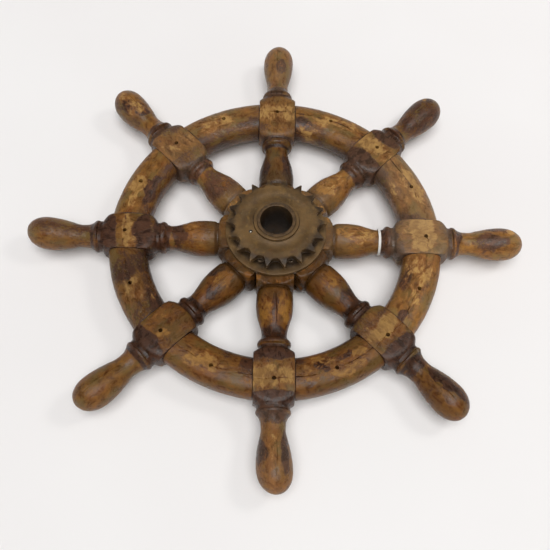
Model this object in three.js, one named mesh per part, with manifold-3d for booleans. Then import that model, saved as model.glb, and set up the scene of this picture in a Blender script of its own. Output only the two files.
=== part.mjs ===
// Ship's steering wheel with a chain sprocket on its hub.
//
// Eight turned hardwood spokes run from mitred blocks in the hub, through flattened balls in the
// rim, to the handles. Eight felloes butt on the flats of the balls, with a dowel in each joint.
// Two iron flanges clamp the hub blocks with eight through bolts. The front flange's barrel passes
// through the wood and carries the sprocket, and a bronze bush inside it turns on a fixed axle.
//
// Millimetres, +Z up along the wheel's axis. The wheel lies on its back boss, sprocket up, and the
// origin is where the axis meets the surface it lies on. Spoke 1 points along +X.

import * as THREE from 'three';
import Module from 'manifold-3d';
import { mergeVertices } from 'three/addons/utils/BufferGeometryUtils.js';

const wasm = await Module();
wasm.setup();

// ---------------------------------------------------------------- driving dimensions

const SPOKE_COUNT = 8;
const SPOKE_ANGLE = (2 * Math.PI) / SPOKE_COUNT;
const HALF_ANGLE = SPOKE_ANGLE / 2;
const GAP = 0.3; // clearance between pieces that touch
const MIDDLE_HEIGHT = 34.5; // surface it lies on to the middle plane of the rim

const TIP_RADIUS = 305; // wheel axis to the end of a handle
const RIM_RADIUS = 180; // wheel axis to the middle of a felloe
const RIM_HALF_WIDTH = 23.3;
const RIM_HALF_THICKNESS = 18.6;
const RIM_SQUARENESS = 2.6; // exponent of the felloe's rounded section

const BALL_CENTRE = 178;
const BALL_RADIUS = 38;
const BALL_HALF_WIDTH = 23.5; // wheel's spoke line to the flat that a felloe butts on

// Turned outlines of a spoke, as [distance from the wheel axis, radius].
const VASE = [[70.5, 19.8], [75, 21.6], [87, 22], [100, 20.9], [113, 17.5], [124, 14.9], [130, 14.8]];
const GRIP = [[222.5, 16.9], [229, 14.3], [237, 13.8], [250, 16.4], [264, 19.1], [277, 20.1], [289, 18.2]];
const INNER_BEAD = { centre: 137.5, core: 14.9, radius: 4.8 };
const OUTER_BEAD = { centre: 217.2, core: 17.4, radius: 2.5 };
const BALL_FOOT = [[143.5, 18], [150, 18]]; // the fillet between the inner bead and the ball
const BALL_CROWN = [[206, 19], [212.4, 18.6]]; // the fillet between the ball and the outer bead
const NECK_OF_SPOKE_RADIUS = 14.8; // where the tie goes round

const DOWEL_RADIUS = 6.5;
const DOWEL_HALF_LENGTH = 14;
const SCREW_HOLE_RADIUS = 2.5;
const SCREW_HOLE_DEPTH = 12;
const BALL_HOLE_RADIUS = 182.7; // wheel axis to the screw hole in a ball
const FELLOE_HOLE_RADIUS = 183.5;

const BLOCK_HALF_WIDTH = 22.3; // square hub end of a spoke
const BLOCK_HALF_HEIGHT = 21.7;
const BLOCK_END = 69.5; // wheel axis to the outer end of the hub block
const SHOULDER_START = 59; // where the block's corners start to round off
const SHOULDER_END_RADIUS = 23.3;
const BLOCK_TENON = 8; // how far the turned part reaches into the block

const FLANGE_RADIUS = 60.5;
const FLANGE_THICKNESS = 5;
const BARREL_RADIUS = 30; // the part of the front casting inside the wood
const NECK_RADIUS = 36.3; // the part between the front flange and the sprocket
const SPIGOT_RADIUS = 27; // the part that the sprocket sits on
const SPIGOT_TOP = 50;
const BACK_BOSS_RADIUS = 36;
const BACK_BOSS_END = -34;

const TOOTH_COUNT = 18;
const CHAIN_PITCH = 19.05;
const ROLLER_RADIUS = 6.1;
const SPROCKET_TIP_RADIUS = 59.7;
const SPROCKET_BOTTOM = 37;
const SPROCKET_TOP = 47;

const BUSH_BORE_RADIUS = 19;
const BUSH_RADIUS = 22.6;
const BUSH_PROUD = 0.5; // how far the bush stands out of each boss

const BOLT_CIRCLE_RADIUS = 44;
const BOLT_RADIUS = 4;
const BOLT_HEAD_HEIGHT = 5.3;
const HEX_CORNER_RADIUS = 7.2;
const NUT_HEIGHT = 6.5;
const LOCK_PIN_RADIUS = 2;
const LOCK_PIN_BOTTOM = 30;
const LOCK_PIN_DISTANCE = 33; // wheel axis to the pin that keys the sprocket to the neck
const LOCK_PIN_ANGLE = THREE.MathUtils.degToRad(205);

const TIE_CENTRE = 127; // wheel axis to the cotton band round spoke 1
const TIE_WIDTH = 3;
const TIE_THICKNESS = 1;

const TURNED_SEGMENTS = 12;
const RING_SEGMENTS = 32;
const PIN_SEGMENTS = 10;
const CURVE_STEPS = 8;
const THROUGH = 60; // half length of a tool that cuts right through the hub

// ---------------------------------------------------------------- materials

function material(colour, roughness, metalness) {
  return new THREE.MeshStandardMaterial({ color: colour, roughness, metalness });
}

const oldVarnishedWood = material(0x82603a, 0.45, 0);
const paleDowelWood = material(0xb9905a, 0.7, 0);
const castIron = material(0x645238, 0.5, 0.8);
const boltSteel = material(0x5a5148, 0.5, 0.85);
const bronze = material(0x7d6434, 0.4, 0.9);
const pinSteel = material(0xb5b2a8, 0.25, 1);
const cotton = material(0xf1efe9, 0.9, 0);

// ---------------------------------------------------------------- solids

function toSolid(geometry) {
  const bare = geometry.clone();
  bare.deleteAttribute('normal');
  bare.deleteAttribute('uv');
  const merged = mergeVertices(bare, 1e-4);
  return new wasm.Manifold(new wasm.Mesh({
    numProp: 3,
    vertProperties: Float32Array.from(merged.attributes.position.array),
    triVerts: Uint32Array.from(merged.index.array),
  }));
}

function toGeometry(solid) {
  const mesh = solid.getMesh();
  const geometry = new THREE.BufferGeometry();
  geometry.setAttribute('position', new THREE.BufferAttribute(mesh.vertProperties.slice(), 3));
  geometry.setIndex(new THREE.BufferAttribute(mesh.triVerts.slice(), 1));
  return geometry;
}

// A solid of revolution about Z. The outline lists [radius, height] and closes on itself or on the axis.
function turnedAboutZ(outline, segments) {
  const points = outline.map(([radius, height]) => new THREE.Vector2(radius, height));
  return toSolid(new THREE.LatheGeometry(points, segments).rotateX(Math.PI / 2));
}

// A solid of revolution about X. The outline lists [distance along X, radius].
function turnedAboutX(outline, segments) {
  const points = outline.map(([along, radius]) => new THREE.Vector2(radius, along));
  return toSolid(new THREE.LatheGeometry(points, segments).rotateZ(-Math.PI / 2));
}

function ring(innerRadius, outerRadius, bottom, top, segments) {
  return turnedAboutZ([
    [innerRadius, bottom], [outerRadius, bottom], [outerRadius, top], [innerRadius, top],
    [innerRadius, bottom],
  ], segments);
}

function rod(radius, bottom, top, segments = PIN_SEGMENTS) {
  return turnedAboutZ([[0, bottom], [radius, bottom], [radius, top], [0, top]], segments);
}

function plate(shape, bottom, top) {
  const geometry = new THREE.ExtrudeGeometry(shape, { depth: top - bottom, bevelEnabled: false });
  return toSolid(geometry.translate(0, 0, bottom));
}

function box(centre, size) {
  return toSolid(new THREE.BoxGeometry(...size).translate(...centre));
}

// Moves a solid out along X and then swings it round the wheel's axis.
function placed(solid, radius, angle) {
  return solid.translate([radius, 0, 0]).rotate([0, 0, THREE.MathUtils.radToDeg(angle)]);
}

// ---------------------------------------------------------------- spokes

function arcPoints(centre, radius, start, end, steps) {
  return Array.from({ length: steps + 1 }, (_, index) => {
    const angle = start + ((end - start) * index) / steps;
    return [centre[0] - radius[0] * Math.cos(angle), centre[1] + radius[1] * Math.sin(angle)];
  });
}

function splinePoints(stations, steps) {
  const points = stations.map(([along, radius]) => new THREE.Vector2(along, radius));
  return new THREE.SplineCurve(points).getPoints(steps).map((point) => [point.x, point.y]);
}

function beadPoints({ centre, core, radius }) {
  const undercut = 0.2;
  return arcPoints([centre, core], [radius, radius], undercut, Math.PI - undercut, 3);
}

// The turned outline from the hub block to the tip: vase, neck, bead, core of the ball, bead, grip.
function spokeOutline() {
  const [tipStart, tipStartRadius] = GRIP[GRIP.length - 1];
  const tipSize = [TIP_RADIUS - tipStart, tipStartRadius];
  const tip = arcPoints([tipStart, 0], tipSize, Math.PI / 2, Math.PI, 4).slice(1, -1);
  return [
    [BLOCK_END - BLOCK_TENON, 0],
    [BLOCK_END - BLOCK_TENON, VASE[0][1]],
    ...splinePoints(VASE, CURVE_STEPS),
    ...beadPoints(INNER_BEAD),
    ...BALL_FOOT,
    ...BALL_CROWN,
    ...beadPoints(OUTER_BEAD),
    ...splinePoints(GRIP, CURVE_STEPS),
    ...tip,
    [TIP_RADIUS, 0],
  ];
}

// The square end in the hub. Its sides are mitred against the neighbouring spokes, its corners
// round off in a turned shoulder, and it is hollowed for the barrel.
function hubBlock() {
  const side = (GAP / 2) / Math.sin(HALF_ANGLE);
  const mitreEnd = BLOCK_HALF_WIDTH / Math.tan(HALF_ANGLE) + side;
  const outline = new THREE.Shape([
    new THREE.Vector2(side, 0),
    new THREE.Vector2(mitreEnd, -BLOCK_HALF_WIDTH),
    new THREE.Vector2(BLOCK_END, -BLOCK_HALF_WIDTH),
    new THREE.Vector2(BLOCK_END, BLOCK_HALF_WIDTH),
    new THREE.Vector2(mitreEnd, BLOCK_HALF_WIDTH),
  ]);
  const diagonal = Math.hypot(BLOCK_HALF_WIDTH, BLOCK_HALF_HEIGHT) + 1;
  const shoulderLength = BLOCK_END - SHOULDER_START;
  const shoulderFall = diagonal - SHOULDER_END_RADIUS;
  const shoulder = turnedAboutX([
    [0, 0], [0, diagonal], [SHOULDER_START, diagonal],
    [SHOULDER_START + 0.4 * shoulderLength, diagonal - 0.2 * shoulderFall],
    [SHOULDER_START + 0.76 * shoulderLength, diagonal - 0.66 * shoulderFall],
    [BLOCK_END, SHOULDER_END_RADIUS], [BLOCK_END, 0],
  ], 20);
  const barrelRoom = rod(BARREL_RADIUS + GAP, -THROUGH, THROUGH, RING_SEGMENTS);
  return plate(outline, -BLOCK_HALF_HEIGHT, BLOCK_HALF_HEIGHT).intersect(shoulder).subtract(barrelRoom);
}

// The ball in the rim, flat where the felloes butt on it and flush with their top and bottom.
function rimBall() {
  const sphere = toSolid(new THREE.SphereGeometry(BALL_RADIUS, 16, 8).rotateX(Math.PI / 2)
    .rotateZ(Math.PI / 16).translate(BALL_CENTRE, 0, 0));
  const size = [4 * BALL_RADIUS, 2 * BALL_HALF_WIDTH, 2 * RIM_HALF_THICKNESS];
  return sphere.intersect(box([BALL_CENTRE, 0, 0], size));
}

function dowelSolid(side, grow = 0) {
  const half = DOWEL_HALF_LENGTH + grow;
  return rod(DOWEL_RADIUS + grow, -half, half).rotate([90, 0, 0])
    .translate([BALL_CENTRE, side * (BALL_HALF_WIDTH + GAP / 2), 0]);
}

function screwHole(radius) {
  return rod(SCREW_HOLE_RADIUS, RIM_HALF_THICKNESS - SCREW_HOLE_DEPTH, RIM_HALF_THICKNESS + 5, 8)
    .translate([radius, 0, 0]);
}

function spokeSolid() {
  const boltRoom = rod(BOLT_RADIUS + GAP, -THROUGH, THROUGH);
  return turnedAboutX(spokeOutline(), TURNED_SEGMENTS)
    .add(hubBlock())
    .add(rimBall())
    .subtract(screwHole(BALL_HOLE_RADIUS))
    .subtract(dowelSolid(1, GAP))
    .subtract(dowelSolid(-1, GAP))
    .subtract(placed(boltRoom, BOLT_CIRCLE_RADIUS, HALF_ANGLE))
    .subtract(placed(boltRoom, BOLT_CIRCLE_RADIUS, -HALF_ANGLE));
}

// ---------------------------------------------------------------- felloes

class RimArc extends THREE.Curve {
  getPoint(t) {
    const angle = (t - 0.5) * SPOKE_ANGLE;
    return new THREE.Vector3(RIM_RADIUS * Math.cos(angle), RIM_RADIUS * Math.sin(angle), 0);
  }
}

function felloeSection() {
  const points = [];
  const count = 16;
  for (let index = 0; index < count; index += 1) {
    const angle = (2 * Math.PI * (index + 0.5)) / count;
    const c = Math.cos(angle);
    const s = Math.sin(angle);
    points.push(new THREE.Vector2(
      RIM_HALF_THICKNESS * Math.sign(c) * Math.abs(c) ** (2 / RIM_SQUARENESS),
      RIM_HALF_WIDTH * Math.sign(s) * Math.abs(s) ** (2 / RIM_SQUARENESS),
    ));
  }
  return new THREE.Shape(points);
}

// A felloe centred on the X axis, between the spokes at minus and plus half a spoke angle.
function felloeSolid() {
  const sweep = toSolid(new THREE.ExtrudeGeometry(felloeSection(), {
    steps: 8, bevelEnabled: false, extrudePath: new RimArc(),
  }));
  const apex = (BALL_HALF_WIDTH + GAP) / Math.sin(HALF_ANGLE);
  const reach = 2 * RIM_RADIUS;
  const between = plate(new THREE.Shape([
    new THREE.Vector2(apex, 0),
    new THREE.Vector2(apex + reach, -reach * Math.tan(HALF_ANGLE)),
    new THREE.Vector2(apex + reach, reach * Math.tan(HALF_ANGLE)),
  ]), -THROUGH, THROUGH);
  const halfTurn = THREE.MathUtils.radToDeg(HALF_ANGLE);
  return sweep.intersect(between)
    .subtract(screwHole(FELLOE_HOLE_RADIUS))
    .subtract(dowelSolid(1, GAP).rotate([0, 0, -halfTurn]))
    .subtract(dowelSolid(-1, GAP).rotate([0, 0, halfTurn]));
}

// ---------------------------------------------------------------- hub iron

const FLANGE_BOTTOM = BLOCK_HALF_HEIGHT + GAP;
const FLANGE_TOP = FLANGE_BOTTOM + FLANGE_THICKNESS;
const RUNNING_RADIUS = BUSH_RADIUS + GAP;

function withBoltHoles(solid) {
  let drilled = solid;
  for (let index = 0; index < SPOKE_COUNT; index += 1) {
    const hole = rod(BOLT_RADIUS + GAP, -THROUGH, THROUGH);
    drilled = drilled.subtract(placed(hole, BOLT_CIRCLE_RADIUS, (index + 0.5) * SPOKE_ANGLE));
  }
  return drilled;
}

function lockPinHole() {
  const hole = rod(LOCK_PIN_RADIUS + GAP, LOCK_PIN_BOTTOM - GAP, SPIGOT_TOP + 5);
  return placed(hole, LOCK_PIN_DISTANCE, LOCK_PIN_ANGLE);
}

function frontFlangeSolid() {
  const body = turnedAboutZ([
    [RUNNING_RADIUS, -BLOCK_HALF_HEIGHT], [BARREL_RADIUS, -BLOCK_HALF_HEIGHT],
    [BARREL_RADIUS, FLANGE_BOTTOM], [FLANGE_RADIUS, FLANGE_BOTTOM],
    [FLANGE_RADIUS, FLANGE_TOP - 1], [FLANGE_RADIUS - 1, FLANGE_TOP], [NECK_RADIUS, FLANGE_TOP],
    [NECK_RADIUS, SPROCKET_BOTTOM - GAP], [SPIGOT_RADIUS, SPROCKET_BOTTOM - GAP],
    [SPIGOT_RADIUS, SPIGOT_TOP - 1], [SPIGOT_RADIUS - 1, SPIGOT_TOP],
    [RUNNING_RADIUS, SPIGOT_TOP], [RUNNING_RADIUS, -BLOCK_HALF_HEIGHT],
  ], RING_SEGMENTS);
  return withBoltHoles(body).subtract(lockPinHole());
}

function backFlangeSolid() {
  const body = turnedAboutZ([
    [RUNNING_RADIUS, BACK_BOSS_END], [BACK_BOSS_RADIUS - 1, BACK_BOSS_END],
    [BACK_BOSS_RADIUS, BACK_BOSS_END + 1], [BACK_BOSS_RADIUS, -FLANGE_TOP],
    [FLANGE_RADIUS - 1, -FLANGE_TOP], [FLANGE_RADIUS, 1 - FLANGE_TOP],
    [FLANGE_RADIUS, -FLANGE_BOTTOM], [RUNNING_RADIUS, -FLANGE_BOTTOM], [RUNNING_RADIUS, BACK_BOSS_END],
  ], RING_SEGMENTS);
  return withBoltHoles(body);
}

// Round seats for the chain's rollers on the pitch circle, with pointed teeth between them.
function sprocketOutline() {
  const pitchRadius = CHAIN_PITCH / (2 * Math.sin(Math.PI / TOOTH_COUNT));
  const toothAngle = (2 * Math.PI) / TOOTH_COUNT;
  const seatHalfAngle = 1.25;
  const seatSteps = 4;
  const crestAngle = 0.011;
  const points = [];
  for (let index = 0; index < TOOTH_COUNT; index += 1) {
    const middle = Math.PI / 2 + index * toothAngle;
    for (let step = 0; step <= seatSteps; step += 1) {
      const turn = seatHalfAngle * ((2 * step) / seatSteps - 1);
      points.push(new THREE.Vector2(
        pitchRadius - ROLLER_RADIUS * Math.cos(turn),
        ROLLER_RADIUS * Math.sin(turn),
      ).rotateAround(new THREE.Vector2(), middle));
    }
    const crest = middle + toothAngle / 2;
    for (const angle of [crest - crestAngle, crest + crestAngle]) {
      points.push(new THREE.Vector2(SPROCKET_TIP_RADIUS, 0).rotateAround(new THREE.Vector2(), angle));
    }
  }
  return new THREE.Shape(points);
}

function sprocketSolid() {
  const seat = rod(SPIGOT_RADIUS + GAP, SPROCKET_BOTTOM - 5, SPROCKET_TOP + 5, RING_SEGMENTS);
  return plate(sprocketOutline(), SPROCKET_BOTTOM, SPROCKET_TOP).subtract(seat).subtract(lockPinHole());
}

function hexagon() {
  const points = Array.from({ length: 6 }, (_, index) => new THREE.Vector2(
    HEX_CORNER_RADIUS * Math.cos((index * Math.PI) / 3),
    HEX_CORNER_RADIUS * Math.sin((index * Math.PI) / 3),
  ));
  return new THREE.Shape(points);
}

function boltSolid() {
  const headTop = -FLANGE_TOP - GAP;
  const shankTop = FLANGE_TOP + GAP + NUT_HEIGHT + 1;
  return plate(hexagon(), headTop - BOLT_HEAD_HEIGHT, headTop).add(rod(BOLT_RADIUS, headTop - 1, shankTop));
}

function nutSolid() {
  const bottom = FLANGE_TOP + GAP;
  return plate(hexagon(), bottom, bottom + NUT_HEIGHT).subtract(rod(BOLT_RADIUS + GAP, 0, THROUGH));
}

// ---------------------------------------------------------------- assembly

const wheel = new THREE.Group();
wheel.position.z = MIDDLE_HEIGHT;

function addPiece(name, solid, look, angle = 0) {
  const mesh = new THREE.Mesh(toGeometry(solid), look);
  mesh.name = name;
  mesh.rotation.z = angle;
  wheel.add(mesh);
}

const spoke = spokeSolid();
const felloe = felloeSolid();
const bolt = boltSolid().translate([BOLT_CIRCLE_RADIUS, 0, 0]);
const nut = nutSolid().translate([BOLT_CIRCLE_RADIUS, 0, 0]);

for (let index = 0; index < SPOKE_COUNT; index += 1) {
  const number = index + 1;
  const angle = index * SPOKE_ANGLE;
  addPiece(`spoke_${number}`, spoke, oldVarnishedWood, angle);
  addPiece(`felloe_${number}`, felloe, oldVarnishedWood, angle + HALF_ANGLE);
  addPiece(`rim_dowel_${number}a`, dowelSolid(-1), paleDowelWood, angle);
  addPiece(`rim_dowel_${number}b`, dowelSolid(1), paleDowelWood, angle);
  addPiece(`hub_bolt_${number}`, bolt, boltSteel, angle + HALF_ANGLE);
  addPiece(`hub_nut_${number}`, nut, boltSteel, angle + HALF_ANGLE);
}

addPiece('front_flange', frontFlangeSolid(), castIron);
addPiece('back_flange', backFlangeSolid(), castIron);
addPiece('chain_sprocket', sprocketSolid(), castIron);
addPiece('sprocket_lock_pin', placed(
  rod(LOCK_PIN_RADIUS, LOCK_PIN_BOTTOM, SPROCKET_TOP), LOCK_PIN_DISTANCE, LOCK_PIN_ANGLE,
), pinSteel);
addPiece('axle_bush', ring(
  BUSH_BORE_RADIUS, BUSH_RADIUS, BACK_BOSS_END - BUSH_PROUD, SPIGOT_TOP + BUSH_PROUD, RING_SEGMENTS,
), bronze);

const tieInner = NECK_OF_SPOKE_RADIUS + GAP;
const tieStart = TIE_CENTRE - TIE_WIDTH / 2;
const tieEnd = TIE_CENTRE + TIE_WIDTH / 2;
addPiece('cotton_tie', turnedAboutX([
  [tieStart, tieInner], [tieStart, tieInner + TIE_THICKNESS],
  [tieEnd, tieInner + TIE_THICKNESS], [tieEnd, tieInner], [tieStart, tieInner],
], 24), cotton);

export default wheel;
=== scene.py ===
"""Looks for the ship's steering wheel: worn varnished wood, greasy cast iron and a cotton tie.

Everything is in metres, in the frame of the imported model. Pieces are modelled in millimetres round
the wheel's axis, with the middle plane of the rim at height zero, and are then placed.
"""

import math

import bmesh
import bpy
import numpy as np
from mathutils import Matrix, Vector


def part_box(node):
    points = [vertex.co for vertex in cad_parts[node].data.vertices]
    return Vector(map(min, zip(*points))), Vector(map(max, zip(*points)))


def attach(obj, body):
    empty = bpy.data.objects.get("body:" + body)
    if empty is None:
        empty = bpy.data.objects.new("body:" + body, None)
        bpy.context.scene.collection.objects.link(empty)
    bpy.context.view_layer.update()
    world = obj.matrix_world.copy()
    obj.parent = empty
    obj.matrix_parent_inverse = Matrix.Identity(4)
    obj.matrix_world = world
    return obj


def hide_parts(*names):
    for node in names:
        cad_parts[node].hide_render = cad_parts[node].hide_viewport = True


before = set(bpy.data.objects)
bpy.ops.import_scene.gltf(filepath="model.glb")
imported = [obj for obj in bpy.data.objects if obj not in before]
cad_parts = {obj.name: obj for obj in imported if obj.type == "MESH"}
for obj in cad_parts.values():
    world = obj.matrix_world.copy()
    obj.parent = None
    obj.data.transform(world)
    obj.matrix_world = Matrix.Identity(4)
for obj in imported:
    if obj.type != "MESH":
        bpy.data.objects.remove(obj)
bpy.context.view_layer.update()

MM = 0.001
TAU = 2 * math.pi
SPOKES = 8
SPOKE_ANGLE = TAU / SPOKES
HALF_ANGLE = SPOKE_ANGLE / 2

# ------------------------------------------------------------------ sizes, in millimetres
TIP_RADIUS = 305
RIM_RADIUS = 180
RIM_HALF_WIDTH = 23.3
RIM_HALF_THICKNESS = 18.6
RIM_SQUARENESS = 2.6
BALL_CENTRE = 178
BALL_RADIUS = 38
BALL_HALF_WIDTH = 23.5
SEAM = 0.3
DOWEL_ROOM_RADIUS = 7.4
DOWEL_ROOM_DEPTH = 14.8
BALL_HOLE = 182.7
FELLOE_HOLE = 183.5
HOLE_RADIUS = 2.5
HOLE_DEPTH = 11
BLOCK_HALF_WIDTH = 22.3
BLOCK_HALF_HEIGHT = 21.7
BLOCK_START = 30.4
BLOCK_END = 69.5
SHOULDER_START = 59
SHOULDER_END_RADIUS = 23.3
BOLT_CIRCLE = 44
BOLT_ROOM = 4.5
FLANGE_RADIUS = 60.5
FLANGE_BOTTOM = 22
FLANGE_TOP = 27
BARREL_RADIUS = 30
NECK_RADIUS = 36.3
SPIGOT_RADIUS = 27
SPIGOT_TOP = 50
BACK_BOSS_RADIUS = 36
BACK_BOSS_END = -34
RUNNING_RADIUS = 22.85
BUSH_BORE = 19
BUSH_RADIUS = 22.75
BUSH_PROUD = 0.5
TOOTH_COUNT = 18
CHAIN_PITCH = 19.05
ROLLER_RADIUS = 6.1
TOOTH_TIP_RADIUS = 59.7
SPROCKET_BOTTOM = 37
SPROCKET_TOP = 47
HEX_CORNER = 7.2
NUT_HEIGHT = 6.5
BOLT_HEAD_HEIGHT = 5.3
BOLT_RADIUS = 4
PIN_DISTANCE = 33
PIN_ANGLE = math.radians(205)
PIN_RADIUS = 2
PIN_BOTTOM = 30
SEAT_HALF_ANGLE = 1.25
TIE_CENTRE = 127
TIE_WIDTH = 3
TIE_THICKNESS = 1

ROD_OVERSHOOT = 12

low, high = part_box("back_flange")
MIDDLE_HEIGHT = low.z / MM - BACK_BOSS_END


# ------------------------------------------------------------------ smooth random fields
def lattice(seed, size=64):
    return np.random.default_rng(seed).uniform(-1, 1, (size, size, size))


LATTICES = [lattice(seed) for seed in range(11, 15)]


def noise(points, scale, seed=0):
    """Smooth noise from -1 to 1 at points, with features about scale millimetres wide."""
    grid = LATTICES[seed % len(LATTICES)]
    size = grid.shape[0]
    place = points / scale + 17.3 * (seed + 1)
    cell = np.floor(place).astype(int)
    part = place - cell
    part = part * part * (3 - 2 * part)
    total = 0
    for dx in (0, 1):
        for dy in (0, 1):
            for dz in (0, 1):
                corner = grid[(cell[..., 0] + dx) % size, (cell[..., 1] + dy) % size, (cell[..., 2] + dz) % size]
                weight = (part[..., 0] if dx else 1 - part[..., 0])
                weight = weight * (part[..., 1] if dy else 1 - part[..., 1])
                weight = weight * (part[..., 2] if dz else 1 - part[..., 2])
                total = total + corner * weight
    return total


def rough_noise(points, scale, seed=0, octaves=3):
    total = 0
    for octave in range(octaves):
        total = total + noise(points, scale / 2**octave, seed + octave) / 2**octave
    return total / (2 - 2.0 ** (1 - octaves))


def smooth_min(a, b, width):
    blend = np.clip(0.5 + 0.5 * (b - a) / width, 0, 1)
    return b + (a - b) * blend - width * blend * (1 - blend)


def smooth_max(a, b, width):
    return -smooth_min(-a, -b, width)


def step(low_edge, high_edge, value):
    part = np.clip((value - low_edge) / (high_edge - low_edge), 0, 1)
    return part * part * (3 - 2 * part)


def smooth_curve(stations, x):
    """A monotone cubic through the stations, which list [x, y]."""
    xs, ys = np.array(stations, float).T
    gaps = np.diff(xs)
    slopes = np.diff(ys) / gaps
    tangents = np.zeros_like(ys)
    same_way = slopes[:-1] * slopes[1:] > 0
    harmonic = 2 * slopes[:-1] * slopes[1:] / np.where(same_way, slopes[:-1] + slopes[1:], 1)
    tangents[1:-1] = np.where(same_way, harmonic, 0)
    tangents[0], tangents[-1] = slopes[0], slopes[-1]
    place = np.clip(np.searchsorted(xs, x) - 1, 0, len(gaps) - 1)
    part = (x - xs[place]) / gaps[place]
    a = (1 + 2 * part) * (1 - part) ** 2 * ys[place] + part * (1 - part) ** 2 * gaps[place] * tangents[place]
    b = part**2 * (3 - 2 * part) * ys[place + 1] + part**2 * (part - 1) * gaps[place] * tangents[place + 1]
    return a + b


# ------------------------------------------------------------------ meshes
def graded(start, stop, coarse, fine, marks, reach):
    """Places from start to stop, coarse apart, and fine apart near the marks."""
    places = [start]
    while places[-1] < stop:
        nearest = min(abs(places[-1] - mark) for mark in marks)
        places.append(places[-1] + fine + (coarse - fine) * min(nearest / reach, 1))
    places = np.array(places)
    return start + (places - start) * (stop - start) / (places[-1] - start)


def skin(rings, first_pole=None, last_pole=None, loop=False):
    """Points and faces of a surface through rings of points, closed at each end by a pole or as a loop."""
    count, around = rings.shape[:2]
    points = rings.reshape(-1, 3)
    column = np.arange(around)
    after = (column + 1) % around
    faces = []
    for index in range(count if loop else count - 1):
        here = index * around
        there = ((index + 1) % count) * around
        faces.append(np.stack([here + column, here + after, there + after, there + column], 1))
    faces = np.concatenate(faces).tolist()
    if not loop:
        pole = len(points)
        points = np.concatenate([points, [first_pole], [last_pole]])
        last = (count - 1) * around
        faces += [[pole, b, a] for a, b in zip(column.tolist(), after.tolist())]
        faces += [[last + a, last + b, pole + 1] for a, b in zip(column.tolist(), after.tolist())]
    return points, faces


def cut_rods(piece, rods):
    """Drills a closed piece. Each rod is (place of the mouth, direction inwards, radius, depth)."""
    form = bmesh.new()
    for mouth, inward, radius, depth in rods:
        inward = Vector(inward).normalized()
        reach = depth + ROD_OVERSHOOT
        turned = inward.to_track_quat("Z", "Y").to_matrix().to_4x4()
        middle = Vector(mouth) + inward * (depth - reach / 2)
        bmesh.ops.create_cone(
            form, cap_ends=True, segments=28, radius1=radius, radius2=radius, depth=reach,
            matrix=Matrix.Translation(middle) @ turned,
        )
    mesh = bpy.data.meshes.new("rods")
    form.to_mesh(mesh)
    form.free()
    tool = bpy.data.objects.new("rods", mesh)
    bpy.context.scene.collection.objects.link(tool)
    cut = piece.modifiers.new("cut", "BOOLEAN")
    cut.operation = "DIFFERENCE"
    cut.solver = "MANIFOLD"
    cut.object = tool
    evaluated = piece.evaluated_get(bpy.context.evaluated_depsgraph_get())
    result = bpy.data.meshes.new_from_object(evaluated)
    form = bmesh.new()
    form.from_mesh(result)
    bmesh.ops.dissolve_degenerate(form, dist=0.002, edges=form.edges)
    form.to_mesh(result)
    form.free()
    piece.modifiers.clear()
    piece.data = result
    bpy.data.objects.remove(tool)


def make_piece(name, surface, material, node, body="wheel", turn=0.0, sharp=35, fields=None, rods=()):
    """A mesh object that stands for a CAD node.

    Its surface is (points, faces) in millimetres, in the node's own axes; turn swings it round the wheel.
    The function fields gives values for the material at the final points.
    """
    points, faces = surface
    mesh = bpy.data.meshes.new(name)
    mesh.from_pydata(np.asarray(points).tolist(), [], faces)
    form = bmesh.new()
    form.from_mesh(mesh)
    bmesh.ops.recalc_face_normals(form, faces=form.faces)
    form.to_mesh(mesh)
    form.free()
    piece = bpy.data.objects.new(name, mesh)
    bpy.context.scene.collection.objects.link(piece)
    if rods:
        cut_rods(piece, rods)
    mesh = piece.data
    places = np.zeros(3 * len(mesh.vertices), np.float32)
    mesh.vertices.foreach_get("co", places)
    for key, values in (fields(places.reshape(-1, 3).astype(float)) if fields else {}).items():
        values = np.asarray(values, np.float32)
        kind = "FLOAT_VECTOR" if values.ndim == 2 else "FLOAT"
        layer = mesh.attributes.new(key, kind, "POINT")
        layer.data.foreach_set("vector" if values.ndim == 2 else "value", values.ravel())
    mesh.transform(
        Matrix.Translation((0, 0, MIDDLE_HEIGHT * MM)) @ Matrix.Rotation(turn, 4, "Z") @ Matrix.Scale(MM, 4)
    )
    mesh.materials.clear()
    mesh.materials.append(material)
    mesh.shade_smooth()
    mesh.set_sharp_from_angle(angle=math.radians(sharp))
    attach(piece, body)
    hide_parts(node)
    return piece


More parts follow.
